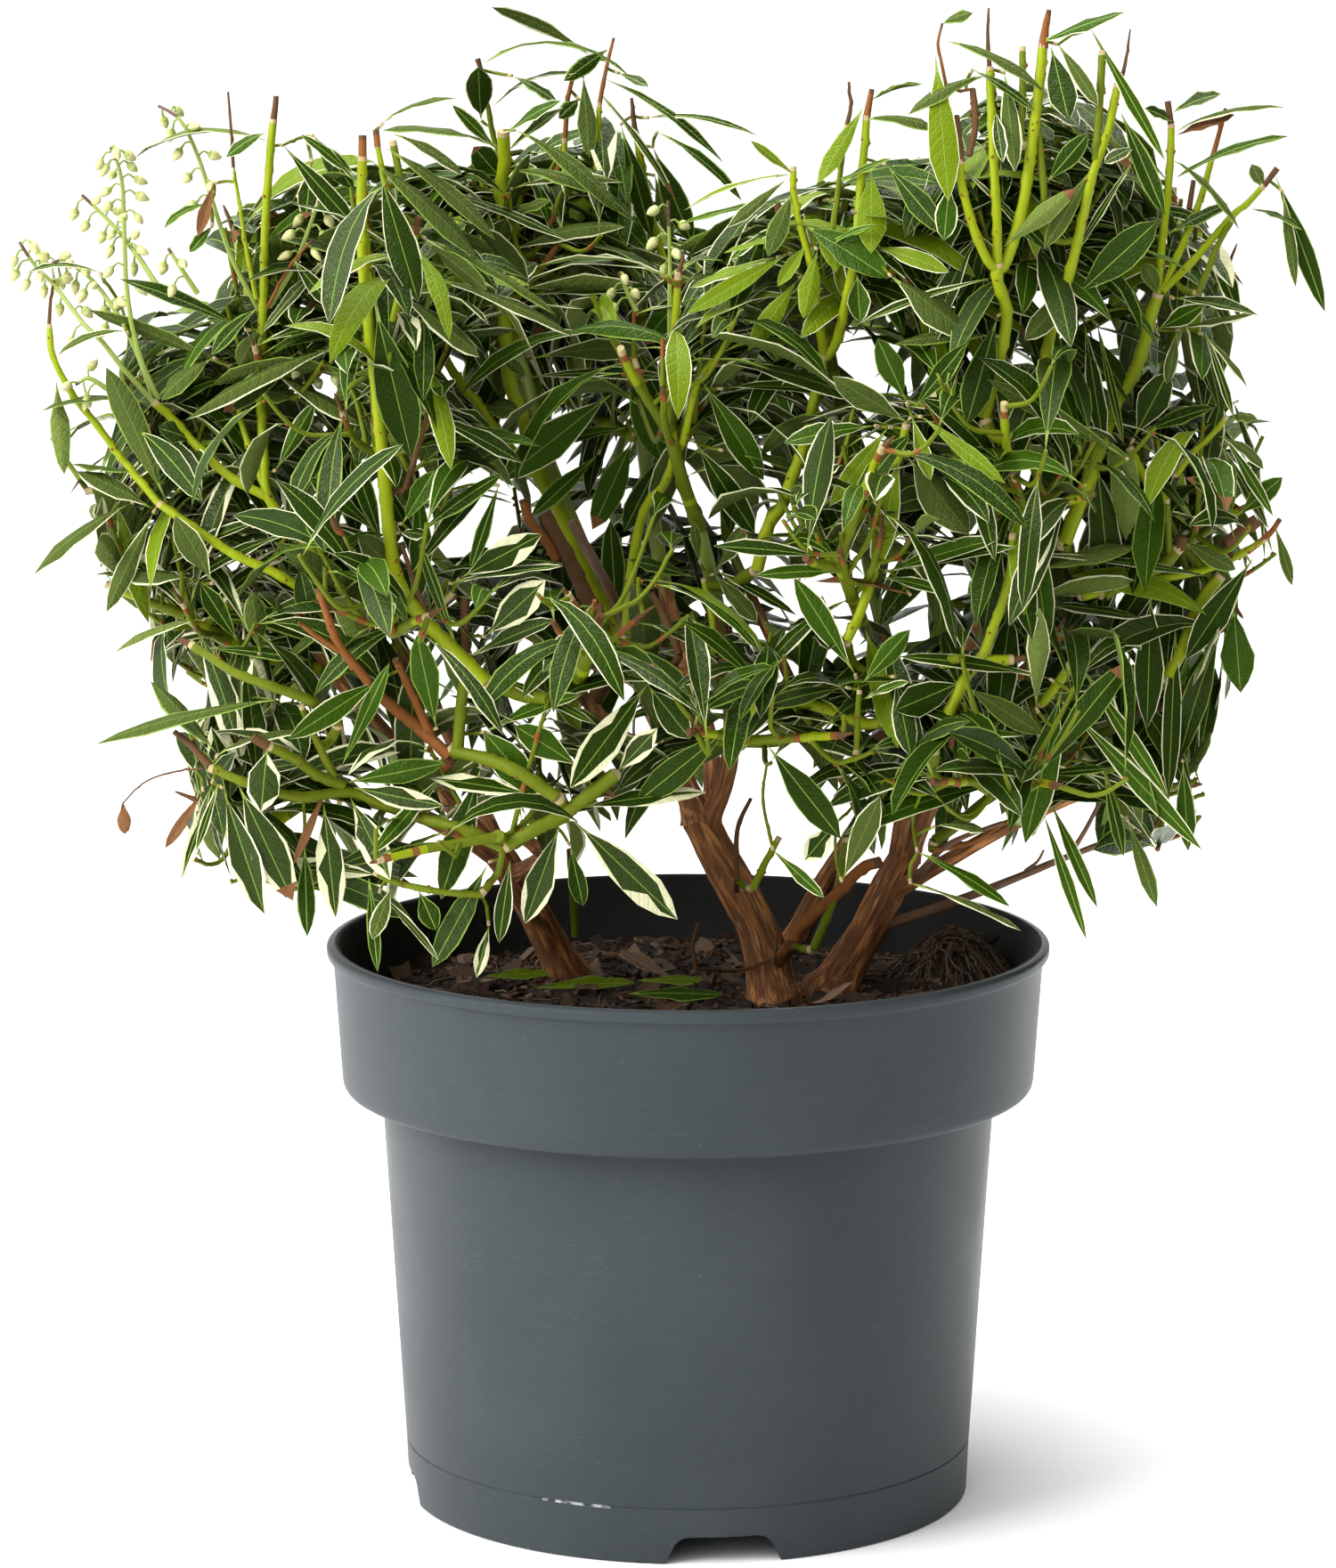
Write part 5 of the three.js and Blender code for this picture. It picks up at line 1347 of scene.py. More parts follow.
def leafFits(leaf):
    spots = bladeRun(leaf, testStops)
    if not all(inCrown(p, growth["inset"]) for p in spots[3:]):
        return False
    if any(hitsPot(p) for p in spots[2:]) or any(hitsWood(p) for p in spots[2:]):
        return False
    if any(leafGrid.near(p) for p in spots[2:5]):
        return False
    across = leaf["along"].cross(leaf["face"]) * (leafShape["width"] * 0.32)
    sides = [p + across * sign for p in spots[2:5] for sign in (-1, 1)]
    if any(viewMap.sky(p) for p in spots[1:] + sides):
        return False
    return not any(viewMap.hides(p) for p in spots[1:])


def pickVariant(name, draw):
    mix = leafMix[mixOf.get(name, "usual")]
    left = draw() * sum(mix.values())
    for variant, weight in mix.items():
        left -= weight
        if left <= 0:
            return variant
    return variant


def growLeaves(name, twig, draw, leaves):
    count = growth[twig["kind"] + "Leaves"]
    onStem = twig["kind"] == "stem"
    first = growth["leafFrom"][twig["kind"]]
    phase = draw() * math.pi * 2

    def between(limits):
        return limits[0] + (limits[1] - limits[0]) * draw()

    for j in range(round(count * thinned.get(name, 1))):
        t = first + (0.9 if onStem else 0.99) * (1 - first) * math.sqrt((j + 0.5) / count)
        axis = curveTangent(twig["points"], t)
        spot = curvePoint(twig["points"], t)
        size = growth["leastSize"] + growth["sizeSpread"] * draw()
        droop, curl = between(growth["droop"]), between(growth["curl"])
        opening, tilt = between(growth["opening"]) + 0.25 * (1 - t), between(growth["tilt"])
        variant, wave, twist = pickVariant(name, draw), draw(), draw() - 0.5
        radius = twig["foot"] + (twig["tip"] - twig["foot"]) * t
        for attempt in range(growth["tries"]):
            swing = math.ceil(attempt / 2) * growth["swing"] * (1 if attempt % 2 else -1)
            turn = phase + j * goldenAngle + swing
            late = attempt > growth["lastTries"]
            opened = opening - (growth["closed"] if late else 0)
            outward = aside(axis, turn)
            along = axis * math.cos(opened) + outward * math.sin(opened)
            face = axis * math.sin(opened) - outward * math.cos(opened)
            face = face + (up - along * along.z) * tilt
            face = (face - along * face.dot(along)).normalized()
            leaf = {
                "root": spot + outward * (radius * 0.7), "along": along, "face": face,
                "length": leafShape["length"] * size * (growth["shrunk"] if late else 1),
                "droop": droop, "curl": curl, "twist": twist * 1.3, "wave": wave, "variant": variant,
            }
            if leafFits(leaf):
                for p in bladeRun(leaf, testStops)[2:5]:
                    leafGrid.keep(p)
                leaves.append(leaf)
                twig["until"] = max(twig.get("until", 0), t)
                break


# sprigs: each leaf and stem is set where the view shows it

sprigHabit = {"sway": 26, "swayScale": 0.005, "leans": (6, -2, 12, -9, 18, -16, 25), "widest": 15.5,
              "halo": 14, "stemHalo": 7, "linkBack": 0.3, "stalkRadius": 0.7, "touch": 3.5,
              "linkGirth": 0.85, "girth": 0.95, "joint": (1.14, 1.07), "scar": (0.5, 0.9)}


def swayed(x, y, depth):  # so that a sprig doesn't stand in one plane
    return depth + sprigHabit["sway"] * noise.noise(Vector((x, y, depth)) * sprigHabit["swayScale"])


def sprigLeaf(row, depth, lean, draws):
    x0, y0, x1, y1, width, bend, facing, finish = row
    root = seen(x0, y0, swayed(x0, y0, depth))
    chord = seen(x1, y1, swayed(x1, y1, depth) - lean) - root
    reach = chord.length
    chord.normalize()
    face = Vector(facings[facing])
    face = (face - chord * face.dot(chord)).normalized()
    half = max(bend, 0.02) / 2
    along = chord * math.cos(half) + face * math.sin(half)
    face = face * math.cos(half) - chord * math.sin(half)
    under = finish.startswith("under")
    side = -1 if under and face.y < 0 else 1
    twist, wave = draws
    return {"root": root, "along": along, "face": face * side, "length": reach * half / math.sin(half),
            "droop": 0, "curl": half * 2 * side, "twist": (twist - 0.5) * 0.5, "wave": wave,
            "width": min(0.88 * width / seenShare[facing], sprigHabit["widest"]),
            "variant": "mid" if under else finish, "under": finish if under else "underPale"}


def alongRoute(points, step):  # evenly spaced spots on the curve through the points
    last, spots = len(points) - 1, []
    for k in range(last):
        count = max(1, round((points[k + 1] - points[k]).length / step))
        spots += [curvePoint(points, (k + j / count) / last) for j in range(count)]
    return spots + [points[-1]]


def laySprigs():
    draw = seeded("sprigs")
    leaves, stems = [], []
    for sprig in sprigs.values():
        depth = sprig["depth"]
        for look, foot, tip, *route in sprig["stems"]:
            points = [seen(x, y, swayed(x, y, depth)) for x, y in zip(route[::2], route[1::2])]
            stem = {"points": points, "foot": foot, "tip": tip, "look": look}
            for p in alongRoute(points, 4):
                viewMap.keep(p, sprigHabit["stemHalo"])
                leafGrid.keep(p)
            stems.append(stem)
    for sprig in sprigs.values():
        for row in sprig["leaves"]:
            draws = (draw(), draw())
            for lean in sprigHabit["leans"]:
                leaf = sprigLeaf(row, sprig["depth"], lean, draws)
                spots = bladeRun(leaf, testStops)
                if not any(leafGrid.near(p) for p in spots[3:5]) and not any(hitsWood(p) for p in spots[2:]):
                    break
            for p in spots[2:5]:
                leafGrid.keep(p)
            for p in spots[1:]:
                viewMap.keep(p, sprigHabit["halo"])
            leaves.append(leaf)
    print(f"  sprigs: {len(stems)} stems, {len(leaves)} leaves")
    return stems, leaves


class Wood:  # samples of all the wood, to join loose feet to
    def __init__(self):
        self.spots = [tuple(p) for limb in limbs.values() for p in alongRoute(limb["points"], 4)]

    def add(self, points):
        self.spots += [tuple(p) for p in alongRoute(points, 3)]

    def nearest(self, p, onward):  # the nearest wood, rather behind the foot than beside it
        spots = np.array(self.spots)
        offsets = spots - np.array(p)
        away = np.linalg.norm(offsets, axis=1)
        ahead = offsets @ np.array(onward.normalized())
        k = int((away + 0.8 * np.maximum(ahead, 0)).argmin())
        return Vector(spots[k]), float(away[k])


def linkTo(wood, foot, onward, radius, look, links):
    start, gap = wood.nearest(foot, onward)
    if gap > sprigHabit["touch"]:
        back = viewAxes()[1] * (gap * sprigHabit["linkBack"])
        middle = start.lerp(foot, 0.5) - onward * (gap * 0.1) + back
        links.append({"points": [start, middle, foot], "foot": radius * sprigHabit["linkGirth"],
                      "tip": radius, "look": "olive" if look == "green" else look})
        wood.add([start, middle, foot])


def linkSprigs(stems, leaves, twigs):
    wood, links = Wood(), []
    for twig in twigs:
        wood.add(twig["points"])
    for stem in stems:
        onward = curveTangent(stem["points"], 0)
        linkTo(wood, stem["points"][0], onward, stem["foot"], stem["look"], links)
        wood.add(stem["points"])
    for leaf in leaves:
        linkTo(wood, leaf["root"], leaf["along"], sprigHabit["stalkRadius"], "olive", links)
    print(f"  {len(links)} twigs join loose feet")
    return links


def cutShort(twig):  # a twig ends just past its last leaf
    end = min(twig["until"] + 0.03, 1)
    return [curvePoint(twig["points"], end * k / 4) for k in range(5)]


def growCrown():
    grown = {}
    for region, names in regions.items():
        twigs, leaves = [], []
        for name in names:
            draw = seeded(name)
            own = growTwigs(name, draw)
            twigs += own
            for twig in own[1:] + own[:1]:
                growLeaves(name, twig, draw, leaves)
            for twig in own:  # a shoot carries its side twigs, and a stem all of them
                if "on" in twig and "until" in twig:
                    twig["on"]["until"] = max(twig["on"].get("until", 0), twig["at"])
            own[0]["until"] = 1
        twigs = [{**twig, "points": cutShort(twig)} for twig in twigs if "until" in twig]
        grown[region] = (twigs, leaves)
        print(f"  {region}: {len(twigs)} twigs, {len(leaves)} leaves")
    return grown


# the leaf's faces are modelled once: an upper and an under sheet, sewn along the outline

bladeRows = (0, 0.13, 0.27, 0.42, 0.57, 0.72, 0.87, 1)
columns = (-3, -2, -1, 1, 2, 3)  # outline, margin line, midrib, and so on
lastRow = len(bladeRows) - 1


def modelLeafFaces():
    sheets = []
    for side in (0, -1):
        deselectAll()
        bpy.ops.mesh.primitive_grid_add(x_subdivisions=5, y_subdivisions=lastRow, size=2)
        sheet = bpy.context.object
        for vertex in sheet.data.vertices:
            column = columns[round((vertex.co.x + 1) * 2.5)]
            row = round((vertex.co.y + 1) / 2 * lastRow)
            ends = row in (0, lastRow)
            vertex.co = (0 if ends else column, row, 0 if ends or abs(column) == 3 else side)
        if side < 0:
            editAll()
            bpy.ops.mesh.flip_normals()
            objectMode()
        sheets.append(sheet)
    leaf = joinAs("leafFaces", sheets)
    editAll()
    bpy.ops.mesh.remove_doubles(threshold=0.01)
    objectMode()
    spots, faces = takeMesh(leaf)
    return spots.round(), faces


leafSpots, leafFaces = modelLeafFaces()
leafSlotNames = ["deep", "mid", "blue", "fresh", "cream", "midrib", "under", "underPale", "petiole",
                 "scorched"]
slotOf = {name: k for k, name in enumerate(leafSlotNames)}


def faceParts():  # what each face of a leaf is part of
    parts = []
    for face in leafFaces:
        column, row, side = leafSpots[face].mean(axis=0)
        under = leafSpots[face][:, 2].min() < 0
        reach = np.abs(leafSpots[face][:, 0]).max()
        middle = abs(column) < 0.6
        if row < 1.1:
            parts.append("petiole")
        elif middle:
            parts.append("underRib" if under else "midrib")
        elif reach > 2.5:
            parts.append("margin")
        else:
            parts.append("under" if under else "upper")
    return parts


leafParts = faceParts()
leafTipFaces = [leafSpots[face][:, 1].mean() > lastRow - 1.1 for face in leafFaces]


def leafFaceSlots(leaf, rng):
    variant = leaf["variant"]
    upper = {"cream": "blue" if rng.random() < 0.5 else "deep", "silver": "blue"}.get(variant, variant)
    pale = variant in ("fresh", "cream") or rng.random() < 0.35
    under = leaf.get("under", "underPale" if pale else "under")
    scorched = leaf.get("scorched", rng.random() < 0.05)
    if variant == "dry":
        return [slotOf["scorched"]] * len(leafParts)
    plain = variant not in ("cream", "silver") and rng.random() < 0.45
    looks = {"petiole": "petiole", "midrib": "midrib", "underRib": "underPale",
             "margin": "midrib" if plain else "cream", "upper": upper, "under": under}
    return [slotOf["scorched" if scorched and atTip else looks[part]]
            for part, atTip in zip(leafParts, leafTipFaces)]


def bladeHalfWidth(share):  # from the petiole's end to the tip, widest past the middle
    rise, fall = leafShape["baseTaper"], leafShape["tipTaper"]
    peak = rise / (rise + fall)
    return share ** rise * (1 - share) ** fall / (peak ** rise * (1 - peak) ** fall)


def layLeaves(heap, leaves, seed):
    rng = np.random.default_rng(seed)
    count = len(leaves)
    rows = np.array(bladeRows)
    read = {key: np.array([leaf[key] for leaf in leaves])
            for key in ("length", "droop", "curl", "twist", "wave")}
    spot, along, face = (np.array([leaf[key][:] for leaf in leaves]) for key in ("root", "along", "face"))
    width = leafShape["width"] / leafShape["length"] * read["length"]
    width *= rng.uniform(*leafShape["girth"], count)
    width = np.array([leaf.get("width", usual) for leaf, usual in zip(leaves, width)])
    wide = np.array([leafShape["wideMargin"] * (leaf["variant"] in ("cream", "silver")) for leaf in leaves])
    spots, sides, faces = [spot], [], []
    for k in range(len(rows)):
        if k:
            share = rows[k] - rows[k - 1]
            along = along - np.array([0, 0, 1]) * (read["droop"] * share)[:, None]
            along = along - face * (read["curl"] * share)[:, None]
            along /= np.linalg.norm(along, axis=1)[:, None]
            face = face - along * (face * along).sum(1)[:, None]
            face /= np.linalg.norm(face, axis=1)[:, None]
            spots.append(spots[-1] + along * (read["length"] * share)[:, None])
        side = np.cross(along, face)
        turn = (read["twist"] * rows[k])[:, None]
        sides.append(side * np.cos(turn) + face * np.sin(turn))
        faces.append(face * np.cos(turn) - side * np.sin(turn))
    spots, sides, faces = (np.stack(part, axis=1) for part in (spots, sides, faces))
    blade = np.clip((rows - leafShape["petiole"]) / (1 - leafShape["petiole"]), 0, 1)
    half = np.maximum(bladeHalfWidth(blade)[None, :] * width[:, None] / 2, leafShape["leastHalf"])
    half *= 1 + leafShape["uneven"] * rng.standard_normal((count, len(rows)))
    row = leafSpots[:, 1].astype(int)
    column, under = leafSpots[:, 0], leafSpots[:, 2]
    rib = np.minimum(leafShape["midrib"] / half, 0.4)
    rims = []
    for _ in range(2):  # the pale margin is uneven, and ragged on the creamy leaves
        rim = leafShape["margin"] * rng.uniform(0.75, 1.25, (count, 1)) + wide[:, None] * rows ** 2
        rim = rim * np.exp(rng.standard_normal((count, len(rows))) * (0.22 + 0.2 * wide[:, None]))
        rim = rim * np.sqrt(half / half.max(axis=1)[:, None])
        rims.append(np.clip(1 - rim / half, rib + 0.12, 0.955))
    rim = np.where(column > 0, rims[0][:, row], rims[1][:, row])
    across = np.select([abs(column) == 3, abs(column) == 2, abs(column) == 1],
                       [np.ones_like(half[:, row]), rim, rib[:, row]], 0) * np.sign(column)
    fold, roll = (rng.uniform(*leafShape[key], (count, 1)) for key in ("fold", "roll"))
    lift = half[:, row] * (fold * abs(across) - roll * across ** 2)
    ripple = np.sin(read["wave"][:, None] * 40 + rows[row] * 16 + (column > 0) * 2.1)
    lift += leafShape["ripple"] * ripple * (abs(across) ** 3) * (blade[row] > 0)
    lift -= leafShape["ribDepth"] * (abs(column) == 1) * (under == 0) * (blade[row] > 0)
    lift += under * leafShape["thickness"] * (1 + (abs(column) == 1))
    out = across * half[:, row]
    points = spots[:, row] + sides[:, row] * out[..., None] + faces[:, row] * lift[..., None]
    uv = np.stack([out, rows[row] * read["length"][:, None]
                   + rng.integers(0, 50, (count, 1)) * 9.0], axis=2)
    for k, leaf in enumerate(leaves):
        heap.add(points[k], leafFaces, leafFaceSlots(leaf, rng), uv=uv[k])


leafSheen = (0.55, 0.60, 0.36)
twigShine = 0.3
leafColours = {  # base colour, roughness, shine
    "deep": ((0.014, 0.034, 0.001), 0.25, 0.2),
    "mid": ((0.027, 0.067, 0.002), 0.25, 0.2),
    "blue": ((0.017, 0.036, 0.003), 0.33, 0.4),
    "fresh": ((0.125, 0.190, 0.003), 0.34, 0.25),
    "cream": ((0.68, 0.67, 0.42), 0.5, 0.25),
    "midrib": ((0.19, 0.28, 0.045), 0.45, 0.25),
    "under": ((0.062, 0.092, 0.016), 0.6, 0.2),
    "underPale": ((0.125, 0.172, 0.034), 0.6, 0.2),
    "petiole": ((0.20, 0.27, 0.045), 0.5, 0.4),
    "scorched": ((0.17, 0.075, 0.030), 0.7, 0.3),
}


def makeLeafMaterials():
    materials = []
    for name in leafSlotNames:
        color, roughness, level = leafColours[name]
        material, tree, shader = newMaterial("leaf" + name[0].upper() + name[1:], color, roughness)
        shine(shader, level, leafSheen)
        strength = 0.9 if name.startswith("under") else 0.5
        normal = placeGroup(tree, leafVeins, Spacing=4.6, Strength=strength)
        tree.links.new(normal, shader.inputs["Normal"])
        materials.append(material)
    return materials


# shoots: green wood with leaf scars, cut or dried off at the top

twigSlotNames = ["lime", "olive", "rusty", "dried", "cutFace"]
twigColours = {
    "lime": ((0.235, 0.290, 0.006), 0.42), "olive": ((0.110, 0.142, 0.005), 0.5),
    "rusty": ((0.200, 0.070, 0.018), 0.65), "dried": ((0.100, 0.048, 0.022), 0.8),
    "cutFace": ((0.42, 0.33, 0.17), 0.8),
}
sprouts = [  # green wood that stands apart: route, foot and tip radii
    ([(-44, 24, 214), (-45, 22, 232), (-46, 14, 250)], 1.7, 1.4),
]


def addShoot(heap, points, foot, tip, kind, rng):
    length = curveLength(points)
    steps = max(5, round(length / 3.2))
    centres = [curvePoint(points, k / steps) for k in range(steps + 1)]
    radii = [foot + (tip - foot) * k / steps for k in range(steps + 1)]
    for k in range(2, steps):  # a joint now and then
        if rng.random() < 0.22:
            radii[k] *= 1.12
            centres[k] = centres[k] + Vector(rng.normal(0, 0.22, 3))
    slots = [slotOfTwig(kind, k / steps, length, rng) for k in range(steps)]
    if kind in ("lead", "shoot", "sprout"):
        slots[-1] = 4 if rng.random() < 0.4 else 3
    addTube(heap, centres, radii, 8 if foot > 1.6 else 6, slots)


def slotOfTwig(kind, t, length, rng):
    fromTip = (1 - t) * length
    if kind in ("lead", "shoot") and fromTip < 9:
        return 2 if fromTip > 5 else 3
    if kind == "stem":
        return 1 if rng.random() < 0.7 else 0
    if rng.random() < 0.05:
        return 2
    return 0 if kind in ("lead", "sprout") and t > 0.5 else 1


def addSprigStem(heap, stem, rng):  # joints and rusty bumps every few millimetres
    centres = alongRoute(stem["points"], 1.8)
    last = len(centres) - 1
    girth = sprigHabit["girth"]
    radii = [girth * (stem["foot"] + (stem["tip"] - stem["foot"]) * k / last) for k in range(last + 1)]
    usual = {"green": 0, "olive": 1, "rusty": 2, "dried": 3}[stem["look"]]
    slots = [usual] * last
    k = int(rng.integers(3, 8))
    while k < last - 1:
        for i, swell in enumerate(sprigHabit["joint"]):
            radii[k + i] *= swell
        centres[k] = centres[k] + Vector(rng.normal(0, 0.18, 3))
        for _ in range(int(rng.integers(1, 5))):
            side = Vector(rng.normal(0, 1, 3)).normalized() * (radii[k] * 0.9)
            addScar(heap, centres[k] + side, min(rng.uniform(*sprigHabit["scar"]), radii[k] * 0.5))
        k += int(rng.integers(2, 8))
    slots[-1] = {"green": 4, "olive": 4}.get(stem["look"], 3)
    addTube(heap, centres, radii, 8 if stem["foot"] > 1.2 else 6, slots)


def addDriedTip(heap, twig, rng):  # the thin dead point left above the last leaves
    end = twig["points"][-1]
    along = curveTangent(twig["points"], 1)
    reach = rng.uniform(4, 11)
    bent = (along + Vector(rng.normal(0, 0.12, 3))).normalized()
    if not inCrown(end + bent * reach):
        return
    centres = [end + bent * (reach * k / 4) - along * 1.5 for k in range(5)]
    addTube(heap, centres, [twig["tip"] * r for r in (1.05, 0.8, 0.55, 0.5, 0.2)], 6, 3)


scarPoints = [(0, 0, -1), (1, 0, 0), (0, 1, 0), (-1, 0, 0), (0, -1, 0), (0, 0, 1)]
scarFaces = [(0, 2, 1), (0, 3, 2), (0, 4, 3), (0, 1, 4), (5, 1, 2), (5, 2, 3), (5, 3, 4), (5, 4, 1)]


def addScar(heap, centre, size):  # a rusty bump, as under each leaf's foot
    heap.add([centre + Vector(p) * size for p in scarPoints], scarFaces, 2)


def makeTwigMaterials():
    materials = []
    for name in twigSlotNames:
        color, roughness = twigColours[name]
        material, tree, shader = newMaterial("twig" + name[0].upper() + name[1:], color, roughness)
        shine(shader, twigShine, leafSheen)
        grain = mottled(tree, objectSpace(tree), 500, 0.3, 0.7, stretch=3)
        roughen(tree, shader, grain, 0.25, 0.5)
        materials.append(material)
    return materials


# flower sprays: stalk routes with buds from a share of the run on

racemes = [  # depth, first bud's share, number of buds, places in the frame
    (-48, 0.35, 16, 178, 448, 161, 411, 148, 365, 141, 310, 139, 240, 137, 205, 131, 180, 124, 165),
    (-50, 0.4, 12, 173, 452, 136, 411, 115, 384, 93, 363, 61, 320, 44, 304, 32, 288, 22, 272),
    (-46, 0.35, 13, 172, 445, 149, 384, 128, 347, 101, 312, 72, 293, 58, 296),
    (-45, 0.2, 9, 176, 320, 157, 291, 139, 267, 125, 251, 109, 235, 92, 219),
    (-44, 0.45, 9, 291, 348, 265, 300, 250, 262, 235, 215, 222, 175, 203, 135, 178, 119),
    (-46, 0.2, 3, 222, 330, 203, 301, 189, 279),
    (-47, 0.3, 9, 303, 345, 330, 300, 345, 262, 355, 235, 362, 222),
    (-52, 0.3, 5, 301, 419, 333, 417, 360, 412, 384, 405),
    (-60, 0.6, 5, 752, 400, 752, 330, 752, 290, 750, 225),
    (-50, 0.3, 4, 715, 350, 705, 330, 695, 305),
    (-50, 0.2, 4, 125, 440, 100, 425, 85, 432),
]
blossom = {"stalk": (1.05, 0.6), "pedicel": 4.2, "bud": (2.1, 5.8),
           "cream": (0.53, 0.52, 0.22), "green": (0.30, 0.36, 0.08), "stalkGreen": (0.24, 0.31, 0.05)}


def modelBud():  # an egg drawn out to a point
    deselectAll()
    bpy.ops.mesh.primitive_uv_sphere_add(segments=8, ring_count=6, radius=1)
    bud = bpy.context.object
    for vertex in bud.data.vertices:
        rise = (vertex.co.z + 1) / 2
        squeeze = 1 - 0.55 * rise ** 2
        vertex.co = (vertex.co.x * squeeze, vertex.co.y * squeeze, rise)
    points, faces = takeMesh(bud)
    return vectors(points), faces


def makeBlossom(rng):
    budPoints, budFaces = modelBud()
    heap = Heap()
    for depth, first, count, *route in racemes:
        points = [seen(x, y, swayed(x, y, depth)) for x, y in zip(route[::2], route[1::2])]
        steps = 14
        centres = [curvePoint(points, k / steps) for k in range(steps + 1)]
        thick, thin = blossom["stalk"]
        radii = [thick + (thin - thick) * k / steps for k in range(steps + 1)]
        addTube(heap, centres, radii, 6, [2] * (steps - 2) + [3, 3])
        for j in range(count):
            t = first + (1 - first) * (j + 0.5) / count
            axis = curveTangent(points, t)
            turn = j * math.pi + rng.uniform(-0.9, 0.9)
            outward = aside(axis, turn, Vector((0.2, 1, 0.3))).normalized()
            foot = curvePoint(points, t)
            reach = blossom["pedicel"] * rng.uniform(0.7, 1.2)
            knee = foot + outward * reach * 0.6 + axis * reach * 0.25
            end = knee + outward * reach * 0.4 - up * reach * 0.35
            bend = [curvePoint([foot, knee, end], k / 4) for k in range(5)]
            addTube(heap, bend, [0.42, 0.38, 0.38, 0.42, 0.55], 5, 2)
            wide, long = (size * rng.uniform(0.85, 1.1) for size in blossom["bud"])
            aim = (outward * 0.7 - up * rng.uniform(0.2, 1.0)).normalized()
            turned = aim.to_track_quat("Z", "Y").to_matrix()
            spots = [end + turned @ Vector((p.x * wide, p.y * wide, p.z * long)) for p in budPoints]
            slots = [1 if sum(budPoints[i].z for i in face) / len(face) < 0.3 else 0 for face in budFaces]
            heap.add(spots, budFaces, slots)
    materials = []
    for name, color in (("budCream", blossom["cream"]), ("budGreen", blossom["green"]),
                        ("budStalk", blossom["stalkGreen"]), ("budDried", twigColours["dried"][0])):
        material, tree, shader = newMaterial(name, color, 0.5)
        shader.inputs["Subsurface Weight"].default_value = 0.15
        shader.inputs["Subsurface Radius"].default_value = (0.002, 0.002, 0.001)
        fuzz = mottled(tree, objectSpace(tree), 900, 0.3, 0.7)
        roughen(tree, shader, fuzz, 0.15, 0.4)
        materials.append(material)
    handOver(heap.build("flowerBuds", materials, 50), "foliage")


def makeFoliage():
    rng = np.random.default_rng(11)
    leafMaterials, twigMaterials = makeLeafMaterials(), makeTwigMaterials()
    twigHeap = Heap()
    sprigStems, sprigLeaves = laySprigs()
    grown = growCrown()
    allTwigs = [twig for twigs, _ in grown.values() for twig in twigs]
    for stem in sprigStems + linkSprigs(sprigStems, sprigLeaves, allTwigs):
        addSprigStem(twigHeap, stem, rng)
    blades = Heap()
    layLeaves(blades, sprigLeaves, 99)
    handOver(blades.build("leavesSprigs", leafMaterials, 62), "foliage")
    for k, (region, (twigs, leaves)) in enumerate(grown.items()):
        blades = Heap()
        layLeaves(blades, leaves, 100 + k)
        handOver(blades.build("leaves" + region, leafMaterials, 62), "foliage", *regions[region])
        for twig in twigs:
            addShoot(twigHeap, twig["points"], twig["foot"], twig["tip"], twig["kind"], rng)
            if twig["kind"] in ("lead", "shoot") and rng.random() < 0.6:
                addDriedTip(twigHeap, twig, rng)
        for leaf in leaves:
            addScar(twigHeap, leaf["root"] + leaf["along"] * 0.5 - up * 0.5, rng.uniform(0.7, 1.1))
    for route, foot, tip in sprouts:
        addShoot(twigHeap, vectors(route), foot, tip, "sprout", rng)
    handOver(twigHeap.build("shoots", twigMaterials, 60), "foliage")
    makeBlossom(rng)


makeFoliage()
print("stage 3: shoots, leaves and flower buds")


# potting mix, and what lies on it

mix = {
    "edge": 133.2, "rim": 190.5, "top": soilTop, "sides": 200, "rings": 80,
    "lump": 3.2, "crumb": 1.3, "mossAt": (108, 34), "mossRadius": 34, "mossHeight": 19,
    "dark": (0.022, 0.012, 0.007), "brown": (0.085, 0.042, 0.021), "pale": (0.24, 0.15, 0.09),
    "chips": 330, "crumbs": 1500, "fibres": 260, "mossFibres": 420, "deadLeaves": 16,
    "hidden": ((0, 14), (106, 14), (115.8, 159), (131.2, 167)),  # radius and height, inside the pot
    "chipSize": (5, 15), "crumbSize": (1.4, 3.4), "fibreReach": (7, 26), "mossReach": (8, 22),
    "fibreRadius": (0.18, 0.55), "leafLength": (28, 46), "leafLift": 4.5,
}


def soilHeight(x, y):
    out = math.hypot(x, y)
    base = mix["rim"] + (mix["top"] - mix["rim"]) * min(max((mix["edge"] - out) / 40, 0), 1)
    away = math.hypot(x - mix["mossAt"][0], y - mix["mossAt"][1]) / mix["mossRadius"]
    mound = mix["mossHeight"] * (1 - away * away) ** 2 if away < 1 else 0
    spot = Vector((x, y, 0))
    lumps = mix["lump"] * noise.noise(spot * 0.035) + mix["crumb"] * noise.noise(spot * 0.16)
    fine = 0.7 * noise.noise(spot * 0.45) * (1 + 2 * (mound > 2))
    calm = 1 - 0.7 * math.exp(-((mix["edge"] - out) / 8) ** 2)
    return base + mound + (lumps + fine) * calm


